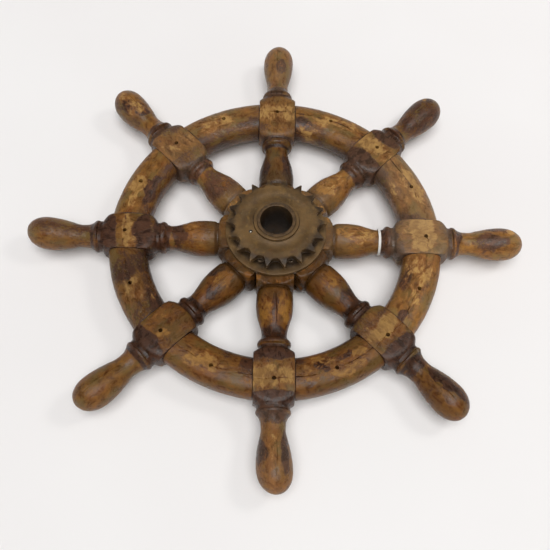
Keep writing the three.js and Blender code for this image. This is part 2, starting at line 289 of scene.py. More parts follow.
# ------------------------------------------------------------------ node helpers
class Graph:
    """Short forms for building a material's nodes."""

    def __init__(self, name):
        self.material = bpy.data.materials.new(name)
        self.material.use_nodes = True
        self.tree = self.material.node_tree
        self.shader = self.tree.nodes["Principled BSDF"]

    def put(self, socket, value):
        if isinstance(value, bpy.types.NodeSocket):
            self.tree.links.new(value, socket)
        elif value is not None:
            socket.default_value = value

    def node(self, kind, inputs=(), output=0, **settings):
        made = self.tree.nodes.new("ShaderNode" + kind)
        for key, value in settings.items():
            setattr(made, key, value)
        for key, value in dict(inputs).items():
            self.put(made.inputs[key], value)
        return made.outputs[output]

    def attribute(self, name, output=2):
        return self.node("Attribute", attribute_name=name, output=output)

    def math(self, operation, a, b=None, c=None, clamp=False):
        made = self.tree.nodes.new("ShaderNodeMath")
        made.operation = operation
        made.use_clamp = clamp
        for index, value in enumerate((a, b, c)):
            self.put(made.inputs[index], value)
        return made.outputs[0]

    def stretch(self, vector, scale, offset=(0, 0, 0)):
        return self.node("Mapping", {"Vector": vector, "Scale": scale, "Location": offset})

    def noise(self, vector, scale=1.0, detail=3.0, roughness=0.55, distortion=0.0):
        return self.node("TexNoise", {
            "Vector": vector, "Scale": scale, "Detail": detail, "Roughness": roughness, "Distortion": distortion,
        })

    def ramp(self, value, low_edge, high_edge, low_value=0.0, high_value=1.0, smooth=True):
        return self.node("MapRange", {
            "Value": value, "From Min": low_edge, "From Max": high_edge, "To Min": low_value, "To Max": high_value,
        }, interpolation_type="SMOOTHSTEP" if smooth else "LINEAR")

    def mix(self, factor, a, b, blend="MIX"):
        made = self.tree.nodes.new("ShaderNodeMix")
        made.data_type = "RGBA"
        made.blend_type = blend
        self.put(made.inputs[0], factor)
        self.put(made.inputs[6], a)
        self.put(made.inputs[7], b)
        return made.outputs[2]

    def bump(self, height, strength, distance, normal=None):
        return self.node("Bump", {
            "Height": height, "Strength": strength, "Distance": distance, "Normal": normal,
        })


def srgb(red, green, blue):
    """A colour from screen values of 0 to 255."""
    def linear(value):
        value /= 255
        return value / 12.92 if value <= 0.04045 else ((value + 0.055) / 1.055) ** 2.4
    return (linear(red), linear(green), linear(blue), 1.0)


# ------------------------------------------------------------------ materials
BARE_DARK, BARE_LIGHT = (130, 92, 42), (167, 128, 70)
VARNISH_DARK, VARNISH_LIGHT = (86, 52, 21), (134, 91, 36)
OLD_DARK, OLD_LIGHT = (46, 27, 19), (74, 44, 29)
GREASE, OCHRE, PAINTED_SHEEN_COLOUR = (86, 64, 35), (140, 96, 42), (176, 156, 130)
AMBER_TINT = (1.0, 0.8, 0.4, 1.0)
IRON_DARK, IRON_LIGHT = (80, 58, 29), (112, 84, 46)
IRON_SPECK, IRON_RUST, IRON_GRIME_AND_SHADE = (84, 68, 38), (110, 74, 34), (34, 24, 15)
IRON_OCHRE, IRON_STAIN = (132, 100, 50), (74, 48, 34)


def wood_material():
    """Old varnish over hardwood. Point fields say where it is worn bare, where dirt has gathered, how dark it is, and
    where a sheen is painted on or left off.
    """
    g = Graph("worn_varnished_wood")
    grain = g.attribute("grain", output=1)
    wear = g.attribute("wear")
    dirt_and_shade = g.attribute("dirt_and_shade")
    tone = g.attribute("tone")

    cloud = g.noise(g.stretch(grain, (0.035, 0.06, 0.06)), detail=3)
    mottle = g.noise(g.stretch(grain, (0.1, 0.16, 0.16)), detail=6, roughness=0.66, distortion=0.5)
    flecks = g.noise(g.stretch(grain, (0.3, 0.5, 0.5), (9, 4, 2)), detail=6, roughness=0.72)
    streak = g.noise(g.stretch(grain, (0.03, 0.4, 0.4)), detail=4, roughness=0.6, distortion=1.2)
    pores = g.noise(g.stretch(grain, (0.15, 3.0, 3.0)), detail=2, roughness=0.7)
    crumbs = g.noise(g.stretch(grain, (0.9, 0.9, 0.9), (3, 8, 5)), detail=3, roughness=0.7)

    bare = g.mix(g.ramp(mottle, 0.38, 0.62), srgb(*BARE_DARK), srgb(*BARE_LIGHT))
    bare = g.mix(g.ramp(streak, 0.5, 0.7, 0, 0.3), bare, srgb(124, 84, 44))
    bare = g.mix(g.ramp(pores, 0.55, 0.8, 0, 0.22), bare, srgb(98, 66, 38))
    bare = g.mix(g.ramp(flecks, 0.5, 0.66, 0, 0.42), bare, srgb(112, 76, 44))
    varnish = g.mix(g.ramp(mottle, 0.34, 0.66), srgb(*VARNISH_DARK), srgb(*VARNISH_LIGHT))
    varnish = g.mix(g.ramp(cloud, 0.46, 0.64, 0, 0.6), varnish, srgb(104, 86, 46))
    varnish = g.mix(g.ramp(cloud, 0.44, 0.34, 0, 0.4), varnish, srgb(124, 73, 32))
    varnish = g.mix(g.ramp(streak, 0.5, 0.75, 0, 0.3), varnish, srgb(84, 52, 30))
    varnish = g.mix(g.ramp(pores, 0.56, 0.8, 0, 0.35), varnish, srgb(58, 36, 22))
    old = g.mix(g.ramp(mottle, 0.4, 0.6), srgb(*OLD_DARK), srgb(*OLD_LIGHT))
    old = g.mix(g.ramp(flecks, 0.52, 0.7, 0, 0.5), old, srgb(98, 68, 42))

    def spread(field, fine, coarse):
        """The field with its edges broken up by fine and coarse noise."""
        moved = g.math("MULTIPLY_ADD", g.math("SUBTRACT", flecks, 0.5), fine, field)
        return g.math("MULTIPLY_ADD", g.math("SUBTRACT", mottle, 0.5), coarse, moved)

    dark_field = spread(dirt_and_shade, 0.8, 1.1)
    dark_mask = g.ramp(dark_field, 0.42, 0.62, 0, 0.95)
    colour = g.mix(dark_mask, varnish, old)
    worn_field = spread(g.math("MULTIPLY_ADD", g.math("SUBTRACT", streak, 0.5), 0.14, wear), 0.7, 1.0)
    bare_mask = g.ramp(worn_field, 0.47, 0.57)
    fringe = g.math("MULTIPLY", g.ramp(worn_field, 0.36, 0.48), g.math("SUBTRACT", 1.0, bare_mask))
    colour = g.mix(g.math("MULTIPLY", fringe, 0.55), colour, srgb(132, 84, 40))
    colour = g.mix(g.math("MULTIPLY", bare_mask, 0.92), colour, bare)
    # Pale specks: chips of paint, and painted glints.
    colour = g.mix(g.ramp(crumbs, 0.67, 0.71, 0, 0.55), colour, srgb(196, 176, 138))
    colour = g.mix(g.ramp(crumbs, 0.34, 0.27, 0, 0.65), colour, srgb(42, 27, 19))
    greasy = g.math("MULTIPLY_ADD", g.math("SUBTRACT", mottle, 0.5), 0.8, g.attribute("grease"))
    colour = g.mix(g.ramp(greasy, 0.3, 0.75, 0, 0.55), colour, srgb(*GREASE))
    colour = g.mix(g.math("MULTIPLY", g.ramp(greasy, 0.3, 0.7, 0, 0.8), bare_mask), colour, srgb(*OCHRE))
    shade = g.math("ADD", tone, 1.0)
    colour = g.mix(1.0, colour, g.node("CombineColor", {"Red": shade, "Green": shade, "Blue": shade}), "MULTIPLY")
    # Painted sheen: positive values fade the colour towards a pale grey-beige, a painted reflection of light; negative
    # values multiply it towards amber, the deeper colour where no reflection is painted.
    painted_sheen = g.attribute("painted_sheen")
    colour = g.mix(painted_sheen, colour, srgb(*PAINTED_SHEEN_COLOUR))
    colour = g.mix(g.math("MULTIPLY", painted_sheen, -1.0, clamp=True), colour, AMBER_TINT, "MULTIPLY")

    rough = g.ramp(mottle, 0.36, 0.62, 0.24, 0.5)
    rough = g.math("MULTIPLY_ADD", bare_mask, 0.16, rough)
    rough = g.math("MULTIPLY_ADD", dark_mask, -0.05, rough)
    ridges = g.bump(g.math("MULTIPLY_ADD", pores, 0.4, streak), 0.3, 0.0005)
    skinned = g.bump(g.math("SUBTRACT", g.math("MULTIPLY", dark_mask, 0.6), bare_mask), 0.6, 0.0003, ridges)
    lumps = g.bump(g.math("MULTIPLY_ADD", flecks, 0.35, mottle), 0.5, 0.0012, skinned)
    g.put(g.shader.inputs["Base Color"], colour)
    g.put(g.shader.inputs["Roughness"], rough)
    g.put(g.shader.inputs["Normal"], lumps)
    g.put(g.shader.inputs["Coat Normal"], lumps)
    g.shader.inputs["Specular IOR Level"].default_value = 0.22
    g.shader.inputs["Coat Weight"].default_value = 0.1
    g.shader.inputs["Coat Roughness"].default_value = 0.16
    return g.material


def iron_material():
    """Brown-stained cast iron with a greasy satin skin; dirt lies in the hollows, and the shade under the sprocket is
    painted in.
    """
    g = Graph("greasy_cast_iron")
    place = g.node("TexCoord", output=3)
    dirt_and_shade = g.attribute("dirt_and_shade")
    cloud = g.noise(g.stretch(place, (34, 34, 34)), detail=5, roughness=0.62)
    speck = g.noise(g.stretch(place, (300, 300, 300)), detail=5, roughness=0.68)
    cast = g.noise(g.stretch(place, (1400, 1400, 1400)), detail=2)
    rust = g.noise(g.stretch(place, (100, 100, 100), (3, 7, 1)), detail=6, roughness=0.7)
    colour = g.mix(g.ramp(cloud, 0.36, 0.66), srgb(*IRON_DARK), srgb(*IRON_LIGHT))
    colour = g.mix(g.ramp(speck, 0.42, 0.72, 0, 0.5), colour, srgb(*IRON_SPECK))
    colour = g.mix(g.ramp(rust, 0.54, 0.7, 0, 0.45), colour, srgb(*IRON_RUST))
    ochre = g.noise(g.stretch(place, (55, 55, 55), (1, 2, 9)), detail=6, roughness=0.72, distortion=0.4)
    colour = g.mix(g.ramp(ochre, 0.56, 0.66, 0, 0.5), colour, srgb(*IRON_OCHRE))
    colour = g.mix(g.ramp(ochre, 0.42, 0.33, 0, 0.5), colour, srgb(*IRON_STAIN))
    colour = g.mix(g.ramp(speck, 0.66, 0.72, 0, 0.5), colour, srgb(158, 134, 96))
    # Grime, and painted shade under the sprocket, from the point field, broken up by noise.
    grime_and_shade = g.math("MULTIPLY_ADD", g.math("SUBTRACT", rust, 0.5), 0.7, dirt_and_shade)
    grime_and_shade_mask = g.ramp(grime_and_shade, 0.34, 0.86, 0, 0.85)
    colour = g.mix(grime_and_shade_mask, colour, srgb(*IRON_GRIME_AND_SHADE))
    g.put(g.shader.inputs["Base Color"], colour)
    g.shader.inputs["Metallic"].default_value = 0.2
    g.shader.inputs["Specular IOR Level"].default_value = 0.4
    g.put(g.shader.inputs["Roughness"], g.math("MULTIPLY_ADD", grime_and_shade_mask, -0.06, g.ramp(speck, 0.3, 0.7, 0.4, 0.6)))
    coarse = g.bump(speck, 0.45, 0.0006, g.bump(cast, 0.3, 0.0002))
    g.put(g.shader.inputs["Normal"], g.bump(rust, 0.35, 0.0014, coarse))
    return g.material


def steel_material(name, light, dark, rough_low, rough_high, metallic):
    """Machined or rolled metal with fine turning lines, stains and wear, and painted shade where its point field says.
    """
    g = Graph(name)
    place = g.node("TexCoord", output=3)
    dirt_and_shade = g.attribute("dirt_and_shade")
    stain = g.noise(g.stretch(place, (160, 160, 160)), detail=5, roughness=0.65)
    lines = g.noise(g.stretch(place, (900, 900, 3000)), detail=2)
    # Grime, and painted shade where the part sits under the sprocket or down the bore.
    grime_and_shade = g.math("ADD", dirt_and_shade, g.math("MULTIPLY", g.math("SUBTRACT", stain, 0.5), 0.8))
    colour = g.mix(g.ramp(stain, 0.35, 0.7), srgb(*dark), srgb(*light))
    colour = g.mix(g.ramp(grime_and_shade, 0.35, 0.8, 0, 0.85), colour, srgb(40, 30, 24))
    g.put(g.shader.inputs["Base Color"], colour)
    g.shader.inputs["Metallic"].default_value = metallic
    g.put(g.shader.inputs["Roughness"], g.ramp(stain, 0.3, 0.7, rough_low, rough_high))
    g.put(g.shader.inputs["Normal"], g.bump(stain, 0.3, 0.0003, g.bump(lines, 0.2, 0.0001)))
    return g.material


def cotton_material():
    """White tape: crossing yarns along and round the band, a little soiled."""
    g = Graph("white_cotton_tape")
    weave = g.attribute("weave", output=1)
    over = g.node("TexWave", {"Vector": g.stretch(weave, (1.0, 0.0, 0.0)), "Scale": 0.5}, output=1,
                  wave_type="BANDS", bands_direction="X")
    under = g.node("TexWave", {"Vector": g.stretch(weave, (0.0, 1.0, 0.0)), "Scale": 0.5}, output=1,
                   wave_type="BANDS", bands_direction="Y")
    yarn = g.math("MAXIMUM", over, under)
    soil = g.noise(g.stretch(weave, (0.12, 0.3, 0.3)), detail=4)
    colour = g.mix(g.ramp(soil, 0.4, 0.75), srgb(244, 242, 238), srgb(222, 214, 200))
    colour = g.mix(g.ramp(yarn, 0.0, 0.35, 0.35, 0), colour, srgb(176, 168, 156))
    g.put(g.shader.inputs["Base Color"], colour)
    g.shader.inputs["Roughness"].default_value = 0.9
    g.shader.inputs["Sheen Weight"].default_value = 0.25
    g.put(g.shader.inputs["Normal"], g.bump(yarn, 0.6, 0.0003))
    return g.material


# ------------------------------------------------------------------ spokes
BODY_STATIONS = [
    [0, 19.6], [70.5, 19.8], [75, 21.6], [87, 22.0], [100, 20.9], [113, 17.5], [123, 15.0], [128, 14.7],
    [131, 15.6], [136, 17.4], [143.5, 18.1], [150, 18], [206, 19], [212.8, 18.9], [217, 18.2],
    [220.8, 17.9], [222.5, 16.9], [225, 15.6], [229, 14.3], [237, 13.8], [250, 16.4], [264, 19.1], [277, 20.1], [310, 20.1],
]
TIP_START = 277
TIP_FULLNESS = 2.3
LAST_RING = 304.8
BEADS = [(137.5, 14.9, 4.8), (217.4, 16.2, 3.7)]
FLUSH_HEIGHT = 18.7
FLUSH_DOME = 0.9
FLUSH_RADIUS = 33.1
CORNER_DEGREES = math.degrees(math.atan2(BLOCK_HALF_HEIGHT, BLOCK_HALF_WIDTH))
FLUSH_CORNER_DEGREES = 37.9
CHECK_RADIUS = 183


def bead_radius(s, centre, core, radius):
    inside = radius**2 - (s - centre) ** 2
    return core + np.sqrt(np.clip(inside, 0, None)) - BALL_RADIUS * (inside <= 0)


def turned_radius(s):
    """The lathe-turned outline of a spoke: vase, neck, bead, ball, bead and grip."""
    outline = smooth_curve(BODY_STATIONS, s)
    tip = np.clip((s - TIP_START) / (TIP_RADIUS - TIP_START), 0, 1) ** TIP_FULLNESS
    outline = outline * np.sqrt(1 - tip)
    for bead in BEADS:
        outline = smooth_max(outline, bead_radius(s, *bead), 0.5)
    ball = np.sqrt(np.clip(BALL_RADIUS**2 - (s - BALL_CENTRE) ** 2, 0, None))
    return smooth_max(outline, ball, 0.8)


def spoke_radius(s, turn):
    """How far a spoke's skin lies from its own axis, s from the wheel's axis and turned round by an angle."""
    across = np.maximum(abs(np.cos(turn)), 1e-6)
    upright = np.maximum(abs(np.sin(turn)), 1e-6)
    turned = turned_radius(s)
    skin_radius = turned
    for _ in range(3):
        spread = (s - BALL_CENTRE) ** 2 + (skin_radius * across) ** 2
        flush = (FLUSH_HEIGHT - FLUSH_DOME * spread / FLUSH_RADIUS**2) / upright
        cut = smooth_min(smooth_min(turned, flush, 9.0), BALL_HALF_WIDTH / across, 0.35)
        skin_radius = np.where(abs(s - BALL_CENTRE) < BALL_RADIUS, cut, turned)

    mitre = np.minimum((s - SEAM / 2 / math.sin(HALF_ANGLE)) * math.tan(HALF_ANGLE), BLOCK_HALF_WIDTH)
    bolt_s = BOLT_CIRCLE * math.cos(HALF_ANGLE)
    bolt_y = BOLT_CIRCLE * math.sin(HALF_ANGLE)
    groove = np.sqrt(np.clip(BOLT_ROOM**2 - (s - bolt_s) ** 2, 0, None))
    mitre = np.where(groove > 0, np.minimum(mitre, bolt_y - groove), mitre)
    square = smooth_min(mitre / across, BLOCK_HALF_HEIGHT / upright, 0.8)
    shoulder = smooth_curve([[0, 32], [SHOULDER_START, 31.8], [63, 30.2], [67, 26.4], [BLOCK_END, 23.0], [400, 22]], s)
    block = smooth_min(square, shoulder, 1.4) - 30 * step(BLOCK_END - 0.2, BLOCK_END + 0.9, s)
    return smooth_max(skin_radius, block, 0.4)


def with_cluster(lines, centre, offsets):
    """The lines, with those round the centre changed for finer ones."""
    clear = abs(lines - centre) > offsets[-1] * 1.3
    return np.sort(np.concatenate([lines[clear], centre + np.array(offsets)]))


SPLIT_OFFSETS = np.array([-1.3, -0.7, -0.35, -0.14, 0.14, 0.35, 0.7, 1.3])


def spoke_lines(split_degrees):
    along = graded(BLOCK_START, LAST_RING, 1.45, 0.5, [59, 70, 131, 143.5, 212.5, 221.5, LAST_RING], 5)
    along = with_cluster(along, CHECK_RADIUS, SPLIT_OFFSETS)
    degrees = np.arange(0, 360, 5.0)
    for quarter in (0, 180):
        for mirrored in (1, -1):
            degrees = with_cluster(degrees, (quarter + mirrored * CORNER_DEGREES) % 360, [-3.4, -1.7, 0, 1.7, 3.4])
            degrees = with_cluster(degrees, (quarter + mirrored * FLUSH_CORNER_DEGREES) % 360, [-2, -0.9, 0, 0.9, 2])
    for split in split_degrees:
        degrees = with_cluster(degrees, split, SPLIT_OFFSETS * 2.6)
    return along, np.radians(degrees)


def groove(distance, width, depth):
    """The depth of a drying split, at a distance from its middle line."""
    return depth * np.clip(1 - abs(distance) / width, 0, 1) ** 0.7


def check_sway(number, turn):
    """How far the drying check across a ball strays from its circle, at each angle round the spoke."""
    place = np.stack([0 * turn, np.cos(turn), np.sin(turn)], -1) * 30 + number * 41.0
    return 2.2 * noise(place, 13, number) + 0.7 * noise(place, 3.5, number + 2), place


def spoke_surface(number, traits):
    split_degrees = traits["splits"]
    along, turns = spoke_lines([degrees for degrees, *_ in split_degrees])
    s, turn = np.meshgrid(along, turns, indexing="ij")
    sway, shift = check_sway(number, turn)
    s_line = s
    s = s + sway * np.exp(-((s - CHECK_RADIUS) / 9) ** 2)
    lengthwise = np.stack([s, 0 * s + 7.0 * number, 0 * s], -1)
    for degrees, *_ in split_degrees:
        away = np.degrees(turn) - degrees
        turn = turn + np.radians(5.0) * noise(lengthwise, 30, number + 3) * np.exp(-((away / 22) ** 2))
    radius = spoke_radius(s, turn)
    places = np.stack([s, radius * np.cos(turn), radius * np.sin(turn)], -1)
    offset = places + 97.0 * number
    swell = 0.22 * rough_noise(offset, 26, number, 2) + 0.1 * rough_noise(offset, 6, number + 1, 2)
    chips = step(0.45, 0.75, rough_noise(offset, 9, number + 2, 2))
    on_bead = np.exp(-((s - 137.5) / 4.5) ** 2) + np.exp(-((s - 217.5) / 4) ** 2)
    swell = swell - (0.25 + 0.9 * on_bead) * chips * step(BLOCK_END, BLOCK_END + 2, s)
    visible = step(FLANGE_RADIUS - 3, FLANGE_RADIUS + 3, s)
    radius = radius + swell * visible * step(LAST_RING + 1, LAST_RING - 12, s)

    split_depth = traits["check_depth"] * step(-0.1, 0.3, noise(shift, 9, number + 5))
    on_crown = step(0.55, 0.75, np.sin(turn))
    radius = radius - groove(s_line - CHECK_RADIUS, 0.45, 1.6) * split_depth * on_crown
    line_degrees = np.degrees(np.broadcast_to(turns, turn.shape))
    for degrees, start, stop, depth in split_degrees:
        within = step(start, start + 9, s) * step(stop, stop - 9, s)
        wide = np.radians(line_degrees - degrees) * radius
        radius = radius - groove(wide, 0.5, depth) * within * step(-0.55, -0.2, noise(lengthwise, 12, number + 1))

    bend = traits["bend"] * (np.clip(s - 214, 0, None) / 66) ** 2
    rings = np.stack([s, radius * np.cos(turn) + bend, radius * np.sin(turn)], -1)
    first = [along[0], 0, 0]
    last = [TIP_RADIUS, traits["bend"] * ((TIP_RADIUS - 214) / 66) ** 2, 0]
    return skin(rings, first, last)


def patches(places, spots, number):
    """A field from ragged soft-edged marks, each (along, across, length, width, amount), seen from the front."""
    front = step(-6, 4, places[:, 2])
    field = np.zeros(len(places))
    offset = places + 61.0 * number
    x = places[:, 0] + 7 * rough_noise(offset, 15, number + 1, 3)
    y = places[:, 1] + 6 * rough_noise(offset, 11, number + 2, 3)
    for along, across, length, width, amount in spots:
        spread = ((x - along) / length) ** 2 + ((y - across) / width) ** 2
        field = field + amount * front * step(1.5, 0.3, spread)
    return field


def by_part(values, s):
    """A value along a spoke, from its values on the vase, the ball and the grip."""
    vase, ball, grip = values
    return vase + (ball - vase) * step(134, 144, s) + (grip - ball) * step(208, 220, s)


def spoke_fields(number, traits):
    def fields(places):
        s, y, z = places.T
        radius = np.hypot(y, z)
        offset = places + 97.0 * number
        cloud = rough_noise(offset, 34, number + 1, 2)
        patch = rough_noise(offset * [0.6, 1, 1], 17, number + 2, 3)
        slope = np.clip(radius - turned_radius(s) + 1.2, 0, 3) / 3
        from_band = abs(s - CHECK_RADIUS + 3 + 3 * noise(offset, 11, number + 6))
        crown = step(11, 18, z) * step(19, 9, from_band)
        shoulders = step(13, 19, from_band) * (abs(s - BALL_CENTRE) < 37) * (z > -4)
        hollows = np.exp(-((s - 143.5) / 2.0) ** 2) + np.exp(-((s - 131) / 2.0) ** 2)
        hollows = hollows + np.exp(-((s - 212.3) / 1.8) ** 2) + np.exp(-((s - 222) / 2.0) ** 2)
        hollows = hollows + 0.7 * np.exp(-((s - 71) / 2.4) ** 2) + step(60, 52, s)
        near_hub = step(74, 66, s)
        seam = step(0.8, 0.0, BALL_HALF_WIDTH - abs(y)) * (abs(s - BALL_CENTRE) < 29)
        ridge = np.exp(-((s - 137.5) / 2.4) ** 2) + np.exp(-((s - 217) / 2.0) ** 2)
        slopes = step(18.0, 12.5, z) * (abs(s - BALL_CENTRE) < 36) * (z > -4)
        wear = 0.13 + 0.22 * cloud + 0.22 * patch + 0.22 * crown - 0.12 * ridge - 0.3 * slopes
        wear = wear + 0.1 * slope - 0.35 * hollows - 0.15 * seam - 0.1 * (z < -4) - 0.12 * shoulders
        wear = wear + near_hub * (0.55 * rough_noise(offset, 8, number + 7, 3) + 0.03)
        wear = wear + traits["wear"] + patches(places, traits["bare"], number)
        dirt_and_shade = 0.3 + 0.32 * rough_noise(offset + 31, 22, number, 3) + 0.6 * hollows + 0.25 * seam + 0.25 * ridge
        dirt_and_shade = dirt_and_shade + near_hub * (0.1 + 0.4 * rough_noise(offset, 9, number + 8, 2))
        dirt_and_shade = dirt_and_shade - 0.15 * crown + 0.1 * slopes + 0.14 * shoulders + traits["dirt_and_shade"] + patches(places, traits["dark"], number + 3)
        sway, _ = check_sway(number, np.arctan2(z, y))
        stain = np.exp(-(((s - CHECK_RADIUS - sway) / 1.1) ** 2)) * (z > 10) * step(-0.3, 0.4, noise(offset, 6, number))
        stain = stain * traits["check_depth"]
        tone = by_part(traits["tone"], s) + 0.1 * cloud - 0.2 * np.clip(hollows, 0, 1)
        # Painted sheen per part, broken up by the patch noise.
        painted_sheen = by_part(traits["painted_sheen"], s) * (1 + 0.4 * patch)
        grease = step(100, 72, s) + 0.3 * rough_noise(offset, 12, number + 4, 2)
        return {
            "grain": offset, "wear": wear - 0.4 * stain, "dirt_and_shade": dirt_and_shade + 0.5 * stain,
            "tone": tone, "painted_sheen": painted_sheen, "grease": grease,
        }
    return fields


# ------------------------------------------------------------------ felloes
FELLOE_SPLIT = 183
END_ROUNDING = 0.25


def felloe_section(angle):
    """Distance from the section's middle to its skin: a soft-cornered oblong."""
    wide = abs(np.cos(angle)) / RIM_HALF_WIDTH
    tall = abs(np.sin(angle)) / RIM_HALF_THICKNESS
    return (wide**RIM_SQUARENESS + tall**RIM_SQUARENESS) ** (-1 / RIM_SQUARENESS)


def split_sway(number, traits, t):
    """How far the split along a felloe's crown strays from its top line, in radians round the section."""
    place = np.stack([t * 150, 0 * t + 31.0 * number, 0 * t], -1)
    return np.radians(traits["sway"] * noise(place, 45, number) + 2.5 * noise(place, 9, number + 1) - 9), place


def felloe_surface(number, traits):
    degrees = with_cluster(np.arange(0, 360, 4.5), 90, SPLIT_OFFSETS * 2.9)
    share = graded(0, 1, 0.0145, 0.004, [0, 1], 0.06)
    t, angle = np.meshgrid(share, np.radians(degrees), indexing="ij")
    turned, sway = split_sway(number, traits, t)
    away = np.degrees(angle) - 90
    angle = angle + turned * np.exp(-((away / 30) ** 2))
    reach = felloe_section(angle)
    bearing = (t - 0.5) * SPOKE_ANGLE * 0.7
    rough = np.stack([RIM_RADIUS * np.cos(bearing) + reach * np.cos(angle),
                      RIM_RADIUS * np.sin(bearing), reach * np.sin(angle)], -1) + 83.0 * number
    reach = reach + 0.3 * rough_noise(rough, 30, number + 2, 2) + 0.1 * rough_noise(rough, 6, number, 2)
    reach = reach - 0.5 * step(0.5, 0.8, rough_noise(rough, 12, number + 1, 2))
    line = np.radians(np.broadcast_to(degrees, t.shape) - 90) * reach
    depth = traits["split"] * step(0.1, 0.5, noise(sway, 13, number + 4) + 1.1 * abs(t - 0.5))
    reach = reach - groove(line, 0.5, 1.7) * depth

    radius = RIM_RADIUS + reach * np.cos(angle)
    end = HALF_ANGLE - np.arcsin((BALL_HALF_WIDTH + SEAM) / radius)
    from_end = np.minimum(t, 1 - t) * 2 * end * radius
    rounding = END_ROUNDING * np.clip(1 - from_end / END_ROUNDING, 0, 1) ** 2
    reach = reach - rounding
    radius = RIM_RADIUS + reach * np.cos(angle)
    bearing = (2 * t - 1) * end
    rings = np.stack([radius * np.cos(bearing), radius * np.sin(bearing), reach * np.sin(angle)], -1)

    def cap(outline, side):
        """Rings from the butt end's outline to the mouth of its dowel room, and the room's wall."""
        spoke = side * HALF_ANGLE
        out = np.array([math.cos(spoke), math.sin(spoke), 0])
        inward = -side * np.array([-math.sin(spoke), math.cos(spoke), 0])
        mouth = out * BALL_CENTRE + inward * (BALL_HALF_WIDTH + SEAM)
        around = np.arctan2(outline[:, 2], outline @ out - BALL_CENTRE)[:, None]
        circle = mouth + DOWEL_ROOM_RADIUS * (np.cos(around) * out + np.sin(around) * np.array([0, 0, 1]))
        shares = [0.3, 0.6, 0.8]
        made = [outline + (circle - outline) * part for part in shares]
        floor = inward * (DOWEL_ROOM_DEPTH - SEAM / 2)
        return made + [circle, circle + floor], mouth + floor

    start_rings, start_pole = cap(rings[0], -1)
    end_rings, end_pole = cap(rings[-1], 1)
    return skin(np.concatenate([start_rings[::-1], rings, end_rings]), start_pole, end_pole)


def felloe_fields(number, traits):
    def fields(places):
        x, y, z = places.T
        radius = np.hypot(x, y)
        arc = np.arctan2(y, x) * RIM_RADIUS
        unrolled = np.stack([arc, radius - RIM_RADIUS, z], -1)
        offset = unrolled + 83.0 * number
        cloud = rough_noise(offset, 36, number, 2)
        patch = rough_noise(offset * [0.5, 1, 1], 16, number + 3, 3)
        gap = radius * np.sin(HALF_ANGLE - abs(np.arctan2(y, x)))
        seam = step(1.2, 0.3, gap - BALL_HALF_WIDTH)
        near_seam = step(22, 2, gap - BALL_HALF_WIDTH)
        wear = 0.2 + 0.24 * cloud + 0.24 * patch + 0.12 * step(8, 17, z) - 0.5 * seam - 0.1 * near_seam
        wear = wear - 0.12 * (z < -4) + traits["wear"] + patches(unrolled, traits["bare"], number + 1)
        dirt_and_shade = 0.26 + 0.32 * rough_noise(offset + 31, 24, number + 1, 3) + 0.5 * seam + 0.08 * near_seam
        dirt_and_shade = dirt_and_shade + 0.25 * step(-4, -14, radius - RIM_RADIUS) + traits["dirt_and_shade"] + patches(unrolled, traits["dark"], number + 5)
        end = HALF_ANGLE - np.arcsin((BALL_HALF_WIDTH + SEAM) / radius)
        turned, _ = split_sway(number, traits, (np.arctan2(y, x) / end + 1) / 2)
        off_line = radius - RIM_RADIUS + np.sin(turned) * RIM_HALF_THICKNESS
        stain = np.exp(-((off_line / 1.1) ** 2)) * (z > 10) * step(-0.2, 0.4, noise(offset, 6, number))
        tone = traits["tone"] + 0.1 * cloud - 0.2 * seam
        grain = places[:, [1, 0, 2]] + 83.0 * number
        # painted_sheen here is the felloe's painted reflection, broken up by the patch noise.
        return {
            "grain": grain, "wear": wear - 0.4 * stain * traits["split"], "dirt_and_shade": dirt_and_shade + 0.5 * stain * traits["split"],
            "tone": tone, "painted_sheen": traits["painted_sheen"] * (1 + 0.4 * patch), "grease": 0 * tone - 0.3,
        }
    return fields


# ------------------------------------------------------------------ ironwork
def rounded(outline, steps=4):
    """An outline of [radius, height, rounding], with each corner turned into a small arc."""
    result = []
    count = len(outline)
    for index, (x, y, size) in enumerate(outline):
        if not size:
            result.append([x, y])
            continue
        corner = np.array([x, y], float)
        before = np.array(outline[index - 1][:2], float) - corner
        after = np.array(outline[(index + 1) % count][:2], float) - corner
        start = corner + before / np.linalg.norm(before) * size
        stop = corner + after / np.linalg.norm(after) * size
        for share in np.linspace(0, 1, steps + 1):
            bend = (1 - share) ** 2 * start + 2 * share * (1 - share) * corner + share**2 * stop
            result.append(bend.tolist())
    return result


def divided(outline, longest):
    """The closed outline with long sides cut into shorter ones."""
    result = []
    for index, start in enumerate(outline):
        stop = outline[(index + 1) % len(outline)]
        parts = max(1, math.ceil(math.dist(start, stop) / longest))
        result += [[start[axis] + (stop[axis] - start[axis]) * part / parts for axis in (0, 1)] for part in range(parts)]
    return result


def lathe(outline, segments, roughness=0.0, longest=3.0, seed=0, keep_bore=None):
    """A closed ring turned from an outline, with the uneven skin of a casting."""
    profile = np.array(divided(rounded(outline), longest))
    angle = np.arange(segments) * TAU / segments
    a, index = np.meshgrid(angle, np.arange(len(profile)), indexing="ij")
    radius, height = profile[index, 0], profile[index, 1]
    places = np.stack([radius * np.cos(a), radius * np.sin(a), height], -1)
    if roughness:
        uneven = rough_noise(places + 11.0 * seed, 14, seed, 2) + 0.5 * rough_noise(places, 3.5, seed + 1, 2)
        cast = np.ones_like(radius) if keep_bore is None else step(keep_bore, keep_bore + 2, radius)
        radius = radius + roughness * uneven * cast
        height = height - roughness * np.sign(height) * abs(uneven) * cast
        places = np.stack([radius * np.cos(a), radius * np.sin(a), height], -1)
    return skin_ring(places)


def skin_ring(places):
    """A surface through closed sections that themselves go round in a loop."""
    return skin(places, loop=True)


